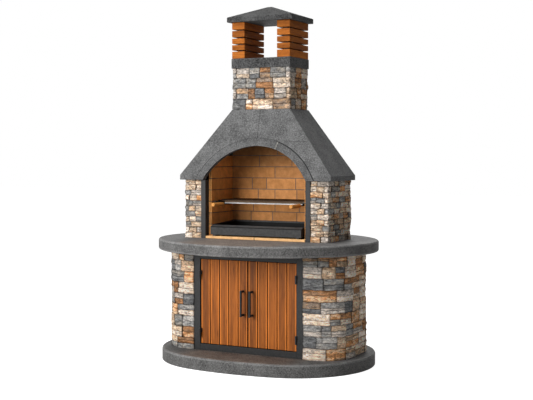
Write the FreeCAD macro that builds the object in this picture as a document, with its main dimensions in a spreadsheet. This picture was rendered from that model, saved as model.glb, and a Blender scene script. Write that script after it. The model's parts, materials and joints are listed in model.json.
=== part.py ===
import FreeCAD, Part
import math
import os
import re
import Sketcher

# Stone garden barbecue: an oval plinth and worktop around a clad cupboard with two plank doors,
# a brick-lined firebox between two clad pillars, and an arched hood that carries a clad chimney.
# Millimetres. The origin is the middle of the plinth's underside, +Z is up and -Y is the front.

SIZES = {
    # Slabs
    "plinth_half_width": 810,
    "plinth_half_depth": 602,
    "plinth_front_bow": 22,
    "plinth_thickness": 92,
    "worktop_half_width": 832,
    "worktop_half_depth": 712,
    "worktop_front_bow": 105,
    "worktop_thickness": 80,
    "slab_chamfer": 8,
    # Cupboard walls and their cladding
    "cabinet_height": 728,
    "flank_half_width": 725,
    "flank_half_depth": 327,
    "flank_corner": 215,
    "flank_wall": 80,
    "flank_stone_depth": 30,
    "stone_joint": 4,
    "stone_bed": 0.3,
    "stone_facet": 70,
    "stone_proud": 2,
    # Door frame and doors
    "frame_half_width": 440,
    "frame_recess": 9,
    "frame_depth": 60,
    "jamb_width": 52,
    "sill_height": 46,
    "head_height": 60,
    "stop_width": 12,
    "stop_clearance": 0.3,
    "door_recess": 10,
    "door_gap": 3,
    "meeting_gap": 6,
    "board_thickness": 22,
    "board_gap": 2,
    "ledge_height": 70,
    "ledge_thickness": 20,
    "ledge_end_gap": 25,
    "hinge_low": 130,
    "hinge_drop": 175,
    "knuckle_radius": 7,
    "knuckle_length": 30,
    "knuckle_gap": 0.3,
    "hinge_standoff": 0.5,
    "hinge_plate": 3,
    "hinge_plate_width": 30,
    "hinge_strap_width": 9,
    "pin_radius": 3.5,
    "pin_clearance": 0.05,
    "handle_inset": 36,
    "handle_level": 363,
    "handle_length": 187,
    "handle_radius": 9,
    "handle_stem_radius": 8.7,
    "handle_standoff": 42,
    "catch_half_width": 30,
    "catch_depth": 22,
    "catch_height": 18,
    "catch_gap": 0.5,
    # Pillars and firebox
    "pillar_height": 430,
    "pillar_half_depth": 209,
    "pillar_stone_depth": 30,
    "post_setback": 3,
    "post_flange": 37,
    "post_return": 45,
    "post_thickness": 4,
    "brick_height": 81.5,
    "brick_depth": 24,
    "brick_joint": 3,
    "lining_board": 10,
    "firebox_back": 190,
    "back_panel": 22,
    "hearth_thickness": 18,
    "hearth_lip": 3,
    "hearth_joint": 2,
    "rail_reach": 25,
    "rail_lip": 15,
    "rail_slack": 0.2,
    "rail_end_gap": 14,
    # Grill
    "grill_half_width": 370,
    "grill_side_gap": 8,
    "grill_front": 75,
    "grill_back": 160,
    "grill_bar_radius": 4,
    "grill_face": 4,
    "grill_face_height": 22,
    "cross_bar_radius": 2.25,
    "cross_bar_pitch": 18,
    "weld_gap": 0.1,
    "tang_inset": 56,
    "tang_grip": 26,
    "grip_clearance": 0.1,
    "grip_length": 145,
    "grip_radius": 14.5,
    "grip_start": 112,
    "grip_chamfer": 4,
    # Charcoal tray
    "tray_side_gap": 10,
    "tray_front": 200,
    "tray_back": 160,
    "tray_front_height": 59,
    "tray_shoulder": 38,
    "tray_shoulder_height": 71,
    "tray_back_height": 91,
    "tray_wall": 3,
    "tray_runner_height": 10,
    "tray_runner_width": 20,
    "tray_runner_inset": 40,
    "tray_rest_gap": 0.3,
    "grate_margin": 8,
    "grate_bar_width": 5,
    "grate_bar_height": 12,
    "grate_pitch": 24,
    "grate_bearer_height": 16,
    "grate_bearer_width": 20,
    "grate_bearer_inset": 80,
    # Hood and arch
    "hood_half_width": 609,
    "hood_side_overhang": 29,
    "hood_front": 232,
    "hood_lip": 35,
    "hood_slope": 478,
    "hood_side_wall": 50,
    "hood_front_wall": 45,
    "hood_seam": 1,
    "arch_half_span": 415,
    "arch_rise": 247,
    "ring_width": 57,
    "ring_joint": 1.5,
    "crown_angle": 18.7,
    # Chimney
    "chimney_half_width": 235,
    "chimney_front": 109,
    "chimney_back": 206,
    "chimney_height": 301,
    "chimney_stone_depth": 30,
    "flue_wall": 25,
    "collar_height": 71,
    "collar_overhang": 4,
    "slat_stack": 263,
    "slat_gap": 9.5,
    "slat_width": 104,
    "spacer_size": 40,
    "spacer_inset": 32,
    "cap_overhang": 28,
    "cap_eave": 36,
    "cap_rise": 82,
    "cap_top_width": 36,
    "cap_top_depth": 24,
}

# Counts
BOARDS_PER_DOOR = 5
RAIL_COURSE = 3
THIN_BAR_FACES = 8

# Stone lengths along each course, from the ground up, as shares of the course.
# A slash marks a stone laid as two thin ones.
RIGHT_FLANK_COURSES = [
    "17 16 14/ 19 18 20", "10 15/ 8 21/ 16 17 17", "14 7/ 12/ 10 17/ 12 16 16", "20 8/ 12/ 14 16 18 16",
    "13 18/ 11 12 13 18 17", "25 18 12/ 12 19 18", "15 16/ 9/ 14 14 18 18", "14 10 8/ 16 16 20 20",
    "11/ 8/ 6 9/ 13 13 19 25"]
LEFT_FLANK_COURSES = [
    "15/ 13/ 12 16 18 15 15", "10/ 19 12 15 16 16 16", "10 9 10 14 17/ 12 16 16", "15/ 8 9 15 18 20 19",
    "9 10/ 12 16 17 18 22", "14 5 10/ 15 18 20 20", "8 20/ 13 15 14 17 17", "11 8 12 15/ 18 20 20",
    "8/ 5 16 14 18 21 22"]
PILLAR_FRONT_COURSES = ["5 4", "4 6", "6 3", "4 5", "3 5", "5 5"]
PILLAR_SIDE_COURSES = ["5 4 6 4", "6 4 3 5", "4 6 5 5", "5 3 5 6", "3 6 4 5"]
CHIMNEY_FRONT_COURSES = ["4 2 6 5", "5/ 3 4 4 5", "4 3 5 5/", "5 4 4/ 6"]
CHIMNEY_SIDE_COURSES = ["4 5 4", "6 3 5/", "3 6 4", "5/ 4 5"]
PILLAR_COURSE_COUNT = 11
# Heights of the chimney's slats from the bottom up, as shares of the timber in a stack
SLAT_SHARES = (52, 38, 38, 46, 51)
FACE_STEPS = (0, 2, 1, 3, 0, 1, 3, 2)

SIDES = (("left", -1), ("right", 1))

document = FreeCAD.newDocument("garden_barbecue")
sheet = document.addObject("Spreadsheet::Sheet", "sizes")
for row, (alias, number) in enumerate(SIZES.items(), 1):
    sheet.set(f"A{row}", alias)
    sheet.set(f"B{row}", str(number))
    sheet.setAlias(f"B{row}", alias)
document.recompute()

pieces = []


def bound(text):
    """The expression with every size word pointing at its cell."""
    return re.sub(r"\b[a-z]+(?:_[a-z]+)+\b", r"sizes.\g<0>", str(text))


def value(text):
    """The number that an expression of size words comes to."""
    return float(sheet.evalExpression(bound(text)))


# Levels and planes that several pieces share
WORKTOP_UNDERSIDE = "(plinth_thickness + cabinet_height)"
WORKTOP_TOP = f"({WORKTOP_UNDERSIDE} + worktop_thickness)"
HEARTH_TOP = f"({WORKTOP_TOP} + hearth_thickness)"
HOOD_BOTTOM = f"({WORKTOP_TOP} + pillar_height)"
LIP_TOP = f"({HOOD_BOTTOM} + hood_lip)"
HOOD_TOP = f"({LIP_TOP} + hood_slope)"
CHIMNEY_TOP = f"({HOOD_TOP} + chimney_height)"
COLLAR_TOP = f"({CHIMNEY_TOP} + collar_height)"
SLATS_TOP = f"({COLLAR_TOP} + slat_stack)"
CAP_EAVE_TOP = f"({SLATS_TOP} + cap_eave)"

FRAME_FRONT = "(frame_recess - flank_half_depth)"
FRAME_BACK = f"({FRAME_FRONT} + frame_depth)"
WALL_BACK = "(flank_half_depth - flank_stone_depth)"
OPENING_HALF_WIDTH = "(frame_half_width - jamb_width)"
OPENING_LOW = "(plinth_thickness + sill_height)"
OPENING_HIGH = f"({WORKTOP_UNDERSIDE} - head_height)"
DOOR_FRONT = f"({FRAME_FRONT} + door_recess)"
DOOR_BACK = f"({DOOR_FRONT} + board_thickness)"
DOOR_LOW = f"({OPENING_LOW} + door_gap)"
DOOR_HIGH = f"({OPENING_HIGH} - door_gap)"
DOOR_OUTER = f"({OPENING_HALF_WIDTH} - door_gap)"
DOOR_INNER = "(meeting_gap / 2)"
STOP_FRONT = f"({DOOR_BACK} + stop_clearance)"
HINGE_ACROSS = f"({OPENING_HALF_WIDTH} - door_gap / 2)"
HINGE_ALONG = f"({FRAME_FRONT} - knuckle_radius - hinge_standoff)"

BRICK_INNER = "(grill_half_width + grill_side_gap)"
CORE_INNER = f"({BRICK_INNER} + brick_depth)"
POST_INNER = f"({CORE_INNER} + post_setback)"
PILLAR_STONE_INNER = f"({POST_INNER} + post_flange)"
PILLAR_OUTER = "(hood_half_width - hood_side_overhang)"
CORE_OUTER = f"({PILLAR_OUTER} - pillar_stone_depth)"
CORE_HALF_DEPTH = "(pillar_half_depth - post_return)"
BRICK_BACK_FACE = "(firebox_back - brick_depth)"
BRICK_PITCH = "(brick_height + brick_joint)"
RAIL_TOP = f"({HEARTH_TOP} + {RAIL_COURSE} * {BRICK_PITCH} - rail_slack)"
RAIL_BOTTOM = f"({RAIL_TOP} - brick_joint + 2 * rail_slack)"
GRILL_LEVEL = f"({RAIL_TOP} + rail_slack + grill_bar_radius)"
STRIP_BOTTOM = f"({GRILL_LEVEL} - grill_face_height)"
TANG_LEVEL = f"({STRIP_BOTTOM} - weld_gap - grill_bar_radius)"
RUNNER_LOW = f"({HEARTH_TOP} + tray_rest_gap)"
TRAY_LOW = f"({RUNNER_LOW} + tray_runner_height)"
TRAY_FLOOR = f"({TRAY_LOW} + tray_wall)"
TRAY_HALF_WIDTH = f"({BRICK_INNER} - tray_side_gap)"

HOOD_BACK = "(firebox_back + back_panel)"
ARCH_RADIUS = "((arch_half_span ^ 2 + arch_rise ^ 2) / (2 * arch_rise))"
ARCH_LEVEL = f"({HOOD_BOTTOM} + arch_rise - {ARCH_RADIUS})"
RING_RADIUS = f"({ARCH_RADIUS} + ring_width)"
FLUE_HALF_WIDTH = "(chimney_half_width - chimney_stone_depth)"
FLUE_FRONT = "(chimney_stone_depth - chimney_front)"
FLUE_BACK = "(chimney_back - chimney_stone_depth)"


def hood_climb(level):
    """Share of the hood's slope below a level."""
    return f"(max(0, {level} - {LIP_TOP}) / hood_slope)"


def hood_clear_half_width(level):
    """Half the clear width between the hood's side walls at a level."""
    drawn_in = f"{hood_climb(level)} * (hood_half_width - chimney_half_width)"
    return f"(hood_half_width - hood_side_wall - {drawn_in})"


def hood_clear_front(level):
    """Inner face of the hood's front wall at a level."""
    return f"(hood_front_wall - hood_front + {hood_climb(level)} * (hood_front - chimney_front))"


def brick_top(row):
    """Top of a course of firebricks, counted from the hearth."""
    return f"({HEARTH_TOP} + {row + 1} * {BRICK_PITCH} - brick_joint)"


def side_brick_courses():
    """Courses of side bricks and their backing board that fit under the sloping hood."""
    count = 0
    needed = f"({CORE_INNER} + lining_board + brick_joint)"
    while value(f"{hood_clear_half_width(brick_top(count))} - {needed}") >= 0:
        count += 1
    return count


# The back lining reaches just past the crown of the arch.
SIDE_BRICK_COURSES = side_brick_courses()
BACK_BRICK_COURSES = math.ceil(value(f"({HOOD_BOTTOM} + arch_rise - {HEARTH_TOP}) / {BRICK_PITCH}"))


def mirrored(sign, low, high):
    """A span on the right, or the same span on the left."""
    return (low, high) if sign > 0 else (f"-({high})", f"-({low})")


def keep(label, piece):
    """Names a finished sub-part and lists it for writing."""
    piece.Label = label
    pieces.append(piece)
    return piece


def box(name, across, along, up):
    """Block between two planes on each axis."""
    block = document.addObject("Part::Box", name)
    for side, axis, (low, high) in zip(("Length", "Width", "Height"), "xyz", (across, along, up)):
        block.setExpression(side, bound(f"({high}) - ({low})"))
        block.setExpression(f"Placement.Base.{axis}", bound(low))
    return block


TURNS = {
    "+z": FreeCAD.Rotation(),
    "+x": FreeCAD.Rotation(FreeCAD.Vector(0, 1, 0), 90),
    "+y": FreeCAD.Rotation(FreeCAD.Vector(1, 0, 0), -90),
    "-y": FreeCAD.Rotation(FreeCAD.Vector(1, 0, 0), 90),
}


def place(solid, turn, centre):
    """Stands a round solid on its base centre, along one axis."""
    solid.Placement = FreeCAD.Placement(FreeCAD.Vector(), TURNS[turn])
    for axis, text in zip("xyz", centre):
        solid.setExpression(f"Placement.Base.{axis}", bound(text))


def cylinder(name, radius, length, turn, centre):
    """Round bar from its base centre."""
    bar = document.addObject("Part::Cylinder", name)
    bar.setExpression("Radius", bound(radius))
    bar.setExpression("Height", bound(length))
    place(bar, turn, centre)
    return bar


def thin_bar(name, radius, length, turn, centre):
    """Thin round bar with few faces, from its base centre."""
    bar = document.addObject("Part::Prism", name)
    bar.Polygon = THIN_BAR_FACES
    bar.setExpression("Circumradius", bound(radius))
    bar.setExpression("Height", bound(length))
    place(bar, turn, centre)
    return bar


def fuse(name, solids, refine=True):
    joined = document.addObject("Part::MultiFuse", name)
    joined.Shapes = solids
    joined.Refine = refine
    return joined


def cut(name, base, tool):
    result = document.addObject("Part::Cut", name)
    result.Base = base
    result.Tool = tool
    return result


def common(name, base, tool):
    result = document.addObject("Part::Common", name)
    result.Base = base
    result.Tool = tool
    return result


def group(name, solids):
    """Separate solids that make one sub-part."""
    gathered = document.addObject("Part::Compound", name)
    gathered.Links = solids
    return gathered


def masonry(label, solids):
    """Laid stones or bricks as one sub-part of separate solids."""
    laid = document.addObject("Part::Feature", label)
    laid.Shape = Part.makeCompound(solids)
    return keep(label, laid)


def plane_sketch(body, role, offset):
    """Empty sketch on one of the body's own planes, moved along its normal."""
    plane = next(item for item in body.Origin.OriginFeatures if item.Role == role)
    sketch = body.newObject("Sketcher::SketchObject", f"{body.Name}_outline")
    sketch.AttachmentSupport = [(plane, "")]
    sketch.MapMode = "FlatFace"
    sketch.setExpression("AttachmentOffset.Base.z", bound(offset))
    return sketch


def hold(sketch, kind, axis, geometry, point, text):
    """Ties one coordinate of a point to its expression, or to the axis where it is zero."""
    number = value(text)
    if number == 0:
        sketch.addConstraint(Sketcher.Constraint("PointOnObject", geometry, point, axis))
        return
    index = sketch.addConstraint(Sketcher.Constraint(kind, -1, 1, geometry, point, number))
    sketch.setExpression(f"Constraints[{index}]", bound(text))


def draw_outline(sketch, corners):
    """Closed straight-sided outline, each corner held at its own two distances."""
    spots = [FreeCAD.Vector(value(first), value(second), 0) for first, second in corners]
    for start, end in zip(spots, spots[1:] + spots[:1]):
        sketch.addGeometry(Part.LineSegment(start, end))
    for edge, (first, second) in enumerate(corners):
        following = (edge + 1) % len(corners)
        sketch.addConstraint(Sketcher.Constraint("Coincident", edge, 2, following, 1))
        hold(sketch, "DistanceX", -2, edge, 1, first)
        hold(sketch, "DistanceY", -1, edge, 1, second)


def pad(body, sketch, length):
    feature = body.newObject("PartDesign::Pad", f"{body.Name}_pad")
    feature.Profile = sketch
    feature.setExpression("Length", bound(length))
    return feature


def prism(name, role, corners, offset, length):
    """Straight-sided outline pushed out along its plane's normal."""
    body = document.addObject("PartDesign::Body", name)
    sketch = plane_sketch(body, role, offset)
    draw_outline(sketch, corners)
    pad(body, sketch, length)
    return body


def leaning_wall(name, foot, inwards):
    """Hood wall: an upright lip on the foot outline, then the same outline leaning back and inwards."""
    body = document.addObject("PartDesign::Body", name)
    lip_sketch = plane_sketch(body, "XY_Plane", HOOD_BOTTOM)
    draw_outline(lip_sketch, foot)
    pad(body, lip_sketch, "hood_lip")
    slope_sketch = plane_sketch(body, "XY_Plane", LIP_TOP)
    draw_outline(slope_sketch, foot)
    slope = pad(body, slope_sketch, "hood_slope")
    slope.UseCustomVector = True
    slope.AlongSketchNormal = True
    for axis, reach in zip("xyz", (inwards, "hood_front - chimney_front", "hood_slope")):
        slope.setExpression(f"Direction.{axis}", bound(reach))
    return body


# Slabs

def draw_oval(sketch, half_width, half_depth, bow):
    """Oval of four tangent arcs: two round ends and two long sides that stand out by the bow."""
    end_radius = f"({half_depth} - {bow})"
    end_centre = f"({half_width} - {end_radius})"
    side_centre = f"(({end_centre} ^ 2 - {bow} ^ 2) / (2 * {bow}))"
    radius = value(end_radius)
    across = value(end_centre)
    along = value(side_centre)
    side_radius = value(half_depth) + along
    turn = math.atan2(along, across)
    arcs = [
        (across, 0, radius, -turn, turn),
        (0, -along, side_radius, turn, math.pi - turn),
        (-across, 0, radius, math.pi - turn, math.pi + turn),
        (0, along, side_radius, math.pi + turn, 2 * math.pi - turn)]
    for centre_x, centre_y, arc_radius, start, end in arcs:
        circle = Part.Circle(FreeCAD.Vector(centre_x, centre_y, 0), FreeCAD.Vector(0, 0, 1), arc_radius)
        sketch.addGeometry(Part.ArcOfCircle(circle, start, end))
    for arc in range(3):
        sketch.addConstraint(Sketcher.Constraint("Tangent", arc, 2, arc + 1, 1))
    sketch.addConstraint(Sketcher.Constraint("Coincident", 3, 2, 0, 1))
    for arc, axis in ((0, -1), (1, -2), (2, -1)):
        sketch.addConstraint(Sketcher.Constraint("PointOnObject", arc, 3, axis))
    hold(sketch, "DistanceX", -2, 0, 3, end_centre)
    hold(sketch, "DistanceX", -2, 2, 3, f"-{end_centre}")
    hold(sketch, "DistanceY", -1, 1, 3, f"-{side_centre}")
    hold(sketch, "DistanceY", -1, 3, 3, side_centre)
    index = sketch.addConstraint(Sketcher.Constraint("Radius", 0, radius))
    sketch.setExpression(f"Constraints[{index}]", bound(end_radius))


def flat_face(shape, upward):
    """Name of the highest or the lowest face."""
    levels = [face.CenterOfMass.z for face in shape.Faces]
    chosen = max(levels) if upward else min(levels)
    return f"Face{levels.index(chosen) + 1}"


def slab(label, underside, thickness, eased_below):
    """Oval cast slab with its edges eased."""
    body = document.addObject("PartDesign::Body", label)
    sketch = plane_sketch(body, "XY_Plane", underside)
    draw_oval(sketch, f"{label}_half_width", f"{label}_half_depth", f"{label}_front_bow")
    block = pad(body, sketch, thickness)
    document.recompute()
    faces = [flat_face(block.Shape, True)]
    if eased_below:
        faces.append(flat_face(block.Shape, False))
    easing = body.newObject("PartDesign::Chamfer", f"{label}_easing")
    easing.Base = (block, faces)
    easing.setExpression("Size", bound("slab_chamfer"))
    return body


keep("plinth_slab", slab("plinth", "0", "plinth_thickness", False))
keep("worktop_slab", slab("worktop", WORKTOP_UNDERSIDE, "worktop_thickness", True))


# Cupboard walls

CABINET_SPAN = ("plinth_thickness", WORKTOP_UNDERSIDE)


def end_block(name, sign, inset):
    """Cupboard end with two round corners, drawn in from the cladding's face by an inset."""
    depth = f"(flank_half_depth - {inset})"
    square = box(f"{name}_block", mirrored(sign, "frame_half_width", f"flank_half_width - {inset}"),
                 (f"-{depth}", depth), CABINET_SPAN)
    document.recompute()
    outer = sign * value(f"flank_half_width - {inset}")
    radius = value(f"flank_corner - {inset}")
    rounded = document.addObject("Part::Fillet", name)
    rounded.Base = square
    rounded.Edges = [(number, radius, radius) for number, edge in enumerate(square.Shape.Edges, 1)
                     if edge.BoundBox.ZLength > 1 and abs(edge.CenterOfMass.x - outer) < 1]
    return rounded


def flank_wall(side, sign):
    """Rounded end wall between the door frame and the back wall."""
    outside = end_block(f"{side}_wall_outside", sign, "flank_stone_depth")
    inside = end_block(f"{side}_wall_inside", sign, "(flank_stone_depth + flank_wall)")
    keep(f"{side}_cabinet_wall", cut(f"{side}_cabinet_wall", outside, inside))


for side, sign in SIDES:
    flank_wall(side, sign)
keep("cabinet_back_wall", box("cabinet_back_wall", ("-frame_half_width", "frame_half_width"),
                              (f"{WALL_BACK} - flank_wall", WALL_BACK), CABINET_SPAN))


# Stone cladding

def course_stones(course):
    """Start, end and thin mark of each stone of a course, as fractions of its length."""
    words = course.split()
    lengths = [float(word.rstrip("/")) for word in words]
    total = sum(lengths)
    start = 0.0
    for word, length in zip(words, lengths):
        end = start + length / total
        yield start, end, word.endswith("/")
        start = end


def layers(low, high, joint, thin):
    """Heights of one stone, or of two thin ones with a joint between them."""
    if not thin:
        return [(low, high)]
    middle = (low + high) / 2
    return [(low, middle - joint / 2), (middle + joint / 2, high)]


def course_levels(low, high, count, joint):
    """Lower and upper bed of each course, with a joint under all but the first."""
    pitch = (high - low) / count
    return [(low + pitch * row + (joint if row else 0), low + pitch * (row + 1)) for row in range(count)]


def upright(points, low, high):
    """Prism on a plan outline between two levels."""
    corners = [FreeCAD.Vector(x, y, low) for x, y in points]
    face = Part.Face(Part.makePolygon(corners + corners[:1]))
    return face.extrude(FreeCAD.Vector(0, 0, high - low))


class EndOutline:
    """Plan of the cladding round a cupboard end, from the door frame to the back wall."""

    def __init__(self):
        self.start = value("frame_half_width")
        self.depth = value("flank_half_depth")
        self.corner = value("flank_corner")
        straight = value("flank_half_width") - self.corner - self.start
        quarter = self.corner * math.pi / 2
        side = 2 * (self.depth - self.corner)
        self.legs = [(straight, False), (quarter, True), (side, False), (quarter, True), (straight, False)]
        self.run = sum(length for length, turns in self.legs)

    def place(self, run, inset):
        """Point at a run along the outline, drawn in by an inset."""
        across, along, heading = self.start, inset - self.depth, 0.0
        for length, turns in self.legs:
            step = min(run, length)
            run -= step
            if turns:
                after = heading + step / self.corner
                across += (self.corner - inset) * (math.sin(after) - math.sin(heading))
                along += (self.corner - inset) * (math.cos(heading) - math.cos(after))
                heading = after
            else:
                across += step * math.cos(heading)
                along += step * math.sin(heading)
        return across, along

    def spans(self, start, end):
        """Straight and round lengths between two runs."""
        low = 0.0
        for length, turns in self.legs:
            first, last = max(start, low), min(end, low + length)
            if last > first:
                yield first, last, turns
            low += length

    def stone(self, start, end, face, bed):
        """Plan of one stone: chords along its face and tangents round the wall behind it."""
        front = [self.place(start, face)]
        back = [self.place(start, bed)]
        for first, last, turns in self.spans(start, end):
            facets = math.ceil((last - first) / value("stone_facet")) if turns else 1
            chord = (last - first) / facets
            for facet in range(facets):
                front.append(self.place(first + chord * (facet + 1), face))
                if turns:
                    rise = (self.corner - bed) * (1 / math.cos(chord / self.corner / 2) - 1)
                    back.append(self.place(first + chord * (facet + 0.5), bed - rise))
        back.append(self.place(end, bed))
        return front + back[::-1]


def flank_stones(side, sign, courses):
    """Stones round a cupboard end, from the door frame to the back wall."""
    outline = EndOutline()
    bed = value("flank_stone_depth - stone_bed")
    joint = value("stone_joint")
    beds = course_levels(value("plinth_thickness"), value(WORKTOP_UNDERSIDE), len(courses), joint)
    stones = []
    for row, (course, (low, high)) in enumerate(zip(courses, beds)):
        for place_in_row, (start, end, thin) in enumerate(course_stones(course)):
            first = start * outline.run + (joint / 2 if start > 0 else 0)
            last = end * outline.run - (joint / 2 if end < 0.999 else 0)
            face = FACE_STEPS[(row * 3 + place_in_row) % len(FACE_STEPS)] * value("stone_proud")
            plan = [(sign * across, along) for across, along in outline.stone(first, last, face, bed)]
            for lower, upper in layers(low, high, joint, thin):
                stones.append(upright(plan, lower, upper))
    masonry(f"{side}_base_stones", stones)


def straight_stones(row, course, span, level, joint, make):
    """Stones of one straight course: make(low, high, step, lower, upper) lays each of them."""
    start, end = span
    laid = []
    for place_in_row, (first, last, thin) in enumerate(course_stones(course)):
        low = start + (end - start) * first + (joint / 2 if first > 0 else 0)
        high = start + (end - start) * last - (joint / 2 if last < 0.999 else 0)
        step = FACE_STEPS[(row * 3 + place_in_row) % len(FACE_STEPS)]
        for lower, upper in layers(level[0], level[1], joint, thin):
            laid.append(make(low, high, step * value("stone_proud"), lower, upper))
    return laid


def block(across, along, up):
    """Plain block between three pairs of numbers."""
    corner = FreeCAD.Vector(min(across), min(along), min(up))
    spans = [max(span) - min(span) for span in (across, along, up)]
    return Part.makeBox(*spans, corner)


def pillar_stones(side, sign):
    """Cladding on the front, the outer side and the back, bonded at the corners."""
    joint = value("stone_joint")
    inner = value(PILLAR_STONE_INNER)
    outer = value(PILLAR_OUTER)
    face = value("pillar_half_depth")
    core = value(CORE_OUTER)
    core_depth = value(CORE_HALF_DEPTH)
    beds = course_levels(value(WORKTOP_TOP), value(HOOD_BOTTOM), PILLAR_COURSE_COUNT, joint)
    stones = []
    for row, level in enumerate(beds):
        quoin_in_front = row % 2 == 0
        front_end = outer if quoin_in_front else core - joint
        side_end = core_depth - joint if quoin_in_front else face
        front_course = PILLAR_FRONT_COURSES[row % len(PILLAR_FRONT_COURSES)]
        back_course = PILLAR_FRONT_COURSES[(row + 2) % len(PILLAR_FRONT_COURSES)]
        side_course = PILLAR_SIDE_COURSES[row % len(PILLAR_SIDE_COURSES)]
        for course, way in ((front_course, -1), (back_course, 1)):
            def end_stone(low, high, step, lower, upper):
                depth = (way * core_depth, way * (face - step))
                return block((sign * low, sign * high), depth, (lower, upper))
            stones += straight_stones(row, course, (inner, front_end), level, joint, end_stone)

        def side_stone(low, high, step, lower, upper):
            return block((sign * core, sign * (outer - step)), (low, high), (lower, upper))
        stones += straight_stones(row, side_course, (-side_end, side_end), level, joint, side_stone)
    masonry(f"{side}_pillar_stones", stones)


def chimney_stones():
    """Cladding on all four sides of the flue, bonded at the corners."""
    joint = value("stone_joint")
    half = value("chimney_half_width")
    core = value(FLUE_HALF_WIDTH)
    front, back = -value("chimney_front"), value("chimney_back")
    core_front, core_back = value(FLUE_FRONT), value(FLUE_BACK)
    beds = course_levels(value(HOOD_TOP), value(CHIMNEY_TOP), len(CHIMNEY_FRONT_COURSES), joint)
    stones = []
    for row, level in enumerate(beds):
        quoin_in_front = row % 2 == 0
        end = half if quoin_in_front else core - joint
        side_span = (core_front + joint, core_back - joint) if quoin_in_front else (front, back)
        front_course = CHIMNEY_FRONT_COURSES[row]
        back_course = CHIMNEY_FRONT_COURSES[-1 - row]
        side_course = CHIMNEY_SIDE_COURSES[row]

        def front_stone(low, high, step, lower, upper):
            return block((low, high), (front + step, core_front), (lower, upper))

        def back_stone(low, high, step, lower, upper):
            return block((low, high), (core_back, back - step), (lower, upper))
        stones += straight_stones(row, front_course, (-end, end), level, joint, front_stone)
        stones += straight_stones(row + 1, back_course, (-end, end), level, joint, back_stone)
        for sign in (-1, 1):
            def side_stone(low, high, step, lower, upper):
                return block((sign * core, sign * (half - step)), (low, high), (lower, upper))
            stones += straight_stones(row + 2, side_course, side_span, level, joint, side_stone)
    masonry("chimney_stones", stones)


flank_stones("left", -1, LEFT_FLANK_COURSES)
flank_stones("right", 1, RIGHT_FLANK_COURSES)
for side, sign in SIDES:
    pillar_stones(side, sign)
chimney_stones()


# Door frame

def door_frame():
    """Steel surround with a stop strip behind the doors on all four sides."""
    depth = (FRAME_FRONT, FRAME_BACK)
    stop_depth = (STOP_FRONT, FRAME_BACK)
    stop_inner = f"({OPENING_HALF_WIDTH} - stop_width)"
    for side, sign in SIDES:
        bar_across = mirrored(sign, OPENING_HALF_WIDTH, "frame_half_width")
        stop_across = mirrored(sign, stop_inner, OPENING_HALF_WIDTH)
        bar = box(f"{side}_jamb_bar", bar_across, depth, CABINET_SPAN)
        stop = box(f"{side}_jamb_stop", stop_across, stop_depth, (OPENING_LOW, OPENING_HIGH))
        keep(f"{side}_frame_jamb", fuse(f"{side}_frame_jamb", [bar, stop]))
    bar_span = (f"-{OPENING_HALF_WIDTH}", OPENING_HALF_WIDTH)
    stop_span = (f"-{stop_inner}", stop_inner)
    levels = {
        "frame_sill": (("plinth_thickness", OPENING_LOW), (OPENING_LOW, f"{OPENING_LOW} + stop_width")),
        "frame_head": ((OPENING_HIGH, WORKTOP_UNDERSIDE), (f"{OPENING_HIGH} - stop_width", OPENING_HIGH))}
    for label, (bar_up, stop_up) in levels.items():
        bar = box(f"{label}_bar", bar_span, depth, bar_up)
        stop = box(f"{label}_stop", stop_span, stop_depth, stop_up)
        keep(label, fuse(label, [bar, stop]))


door_frame()
CATCH_TOP = f"({OPENING_HIGH} - stop_width)"
CATCH_FRONT = f"({DOOR_BACK} + catch_gap)"
CATCH_DEPTH = (CATCH_FRONT, f"{CATCH_FRONT} + catch_depth")
keep("door_catch", box("door_catch", ("-catch_half_width", "catch_half_width"), CATCH_DEPTH,
                       (f"{CATCH_TOP} - catch_height", CATCH_TOP)))


# Doors

HINGE_LEVELS = ("(plinth_thickness + hinge_low)", f"({WORKTOP_UNDERSIDE} - hinge_drop)")


def door_boards(side, sign):
    """Upright planks with a narrow gap between them."""
    width = f"(({DOOR_OUTER} - {DOOR_INNER} - {BOARDS_PER_DOOR - 1} * board_gap) / {BOARDS_PER_DOOR})"
    planks = []
    for number in range(BOARDS_PER_DOOR):
        low = f"({DOOR_INNER} + {number} * ({width} + board_gap))"
        planks.append(box(f"{side}_board", mirrored(sign, low, f"{low} + {width}"), (DOOR_FRONT, DOOR_BACK),
                          (DOOR_LOW, DOOR_HIGH)))
    keep(f"{side}_door_boards", group(f"{side}_door_boards", planks))


def door_ledges(side, sign):
    """Two level battens that hold the planks together from behind."""
    across = mirrored(sign, f"{DOOR_INNER} + ledge_end_gap", f"{DOOR_OUTER} - ledge_end_gap")
    battens = []
    for level in HINGE_LEVELS:
        up = (f"{level} - ledge_height / 2", f"{level} + ledge_height / 2")
        battens.append(box(f"{side}_ledge", across, (DOOR_BACK, f"{DOOR_BACK} + ledge_thickness"), up))
    keep(f"{side}_door_ledges", group(f"{side}_door_ledges", battens))


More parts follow.
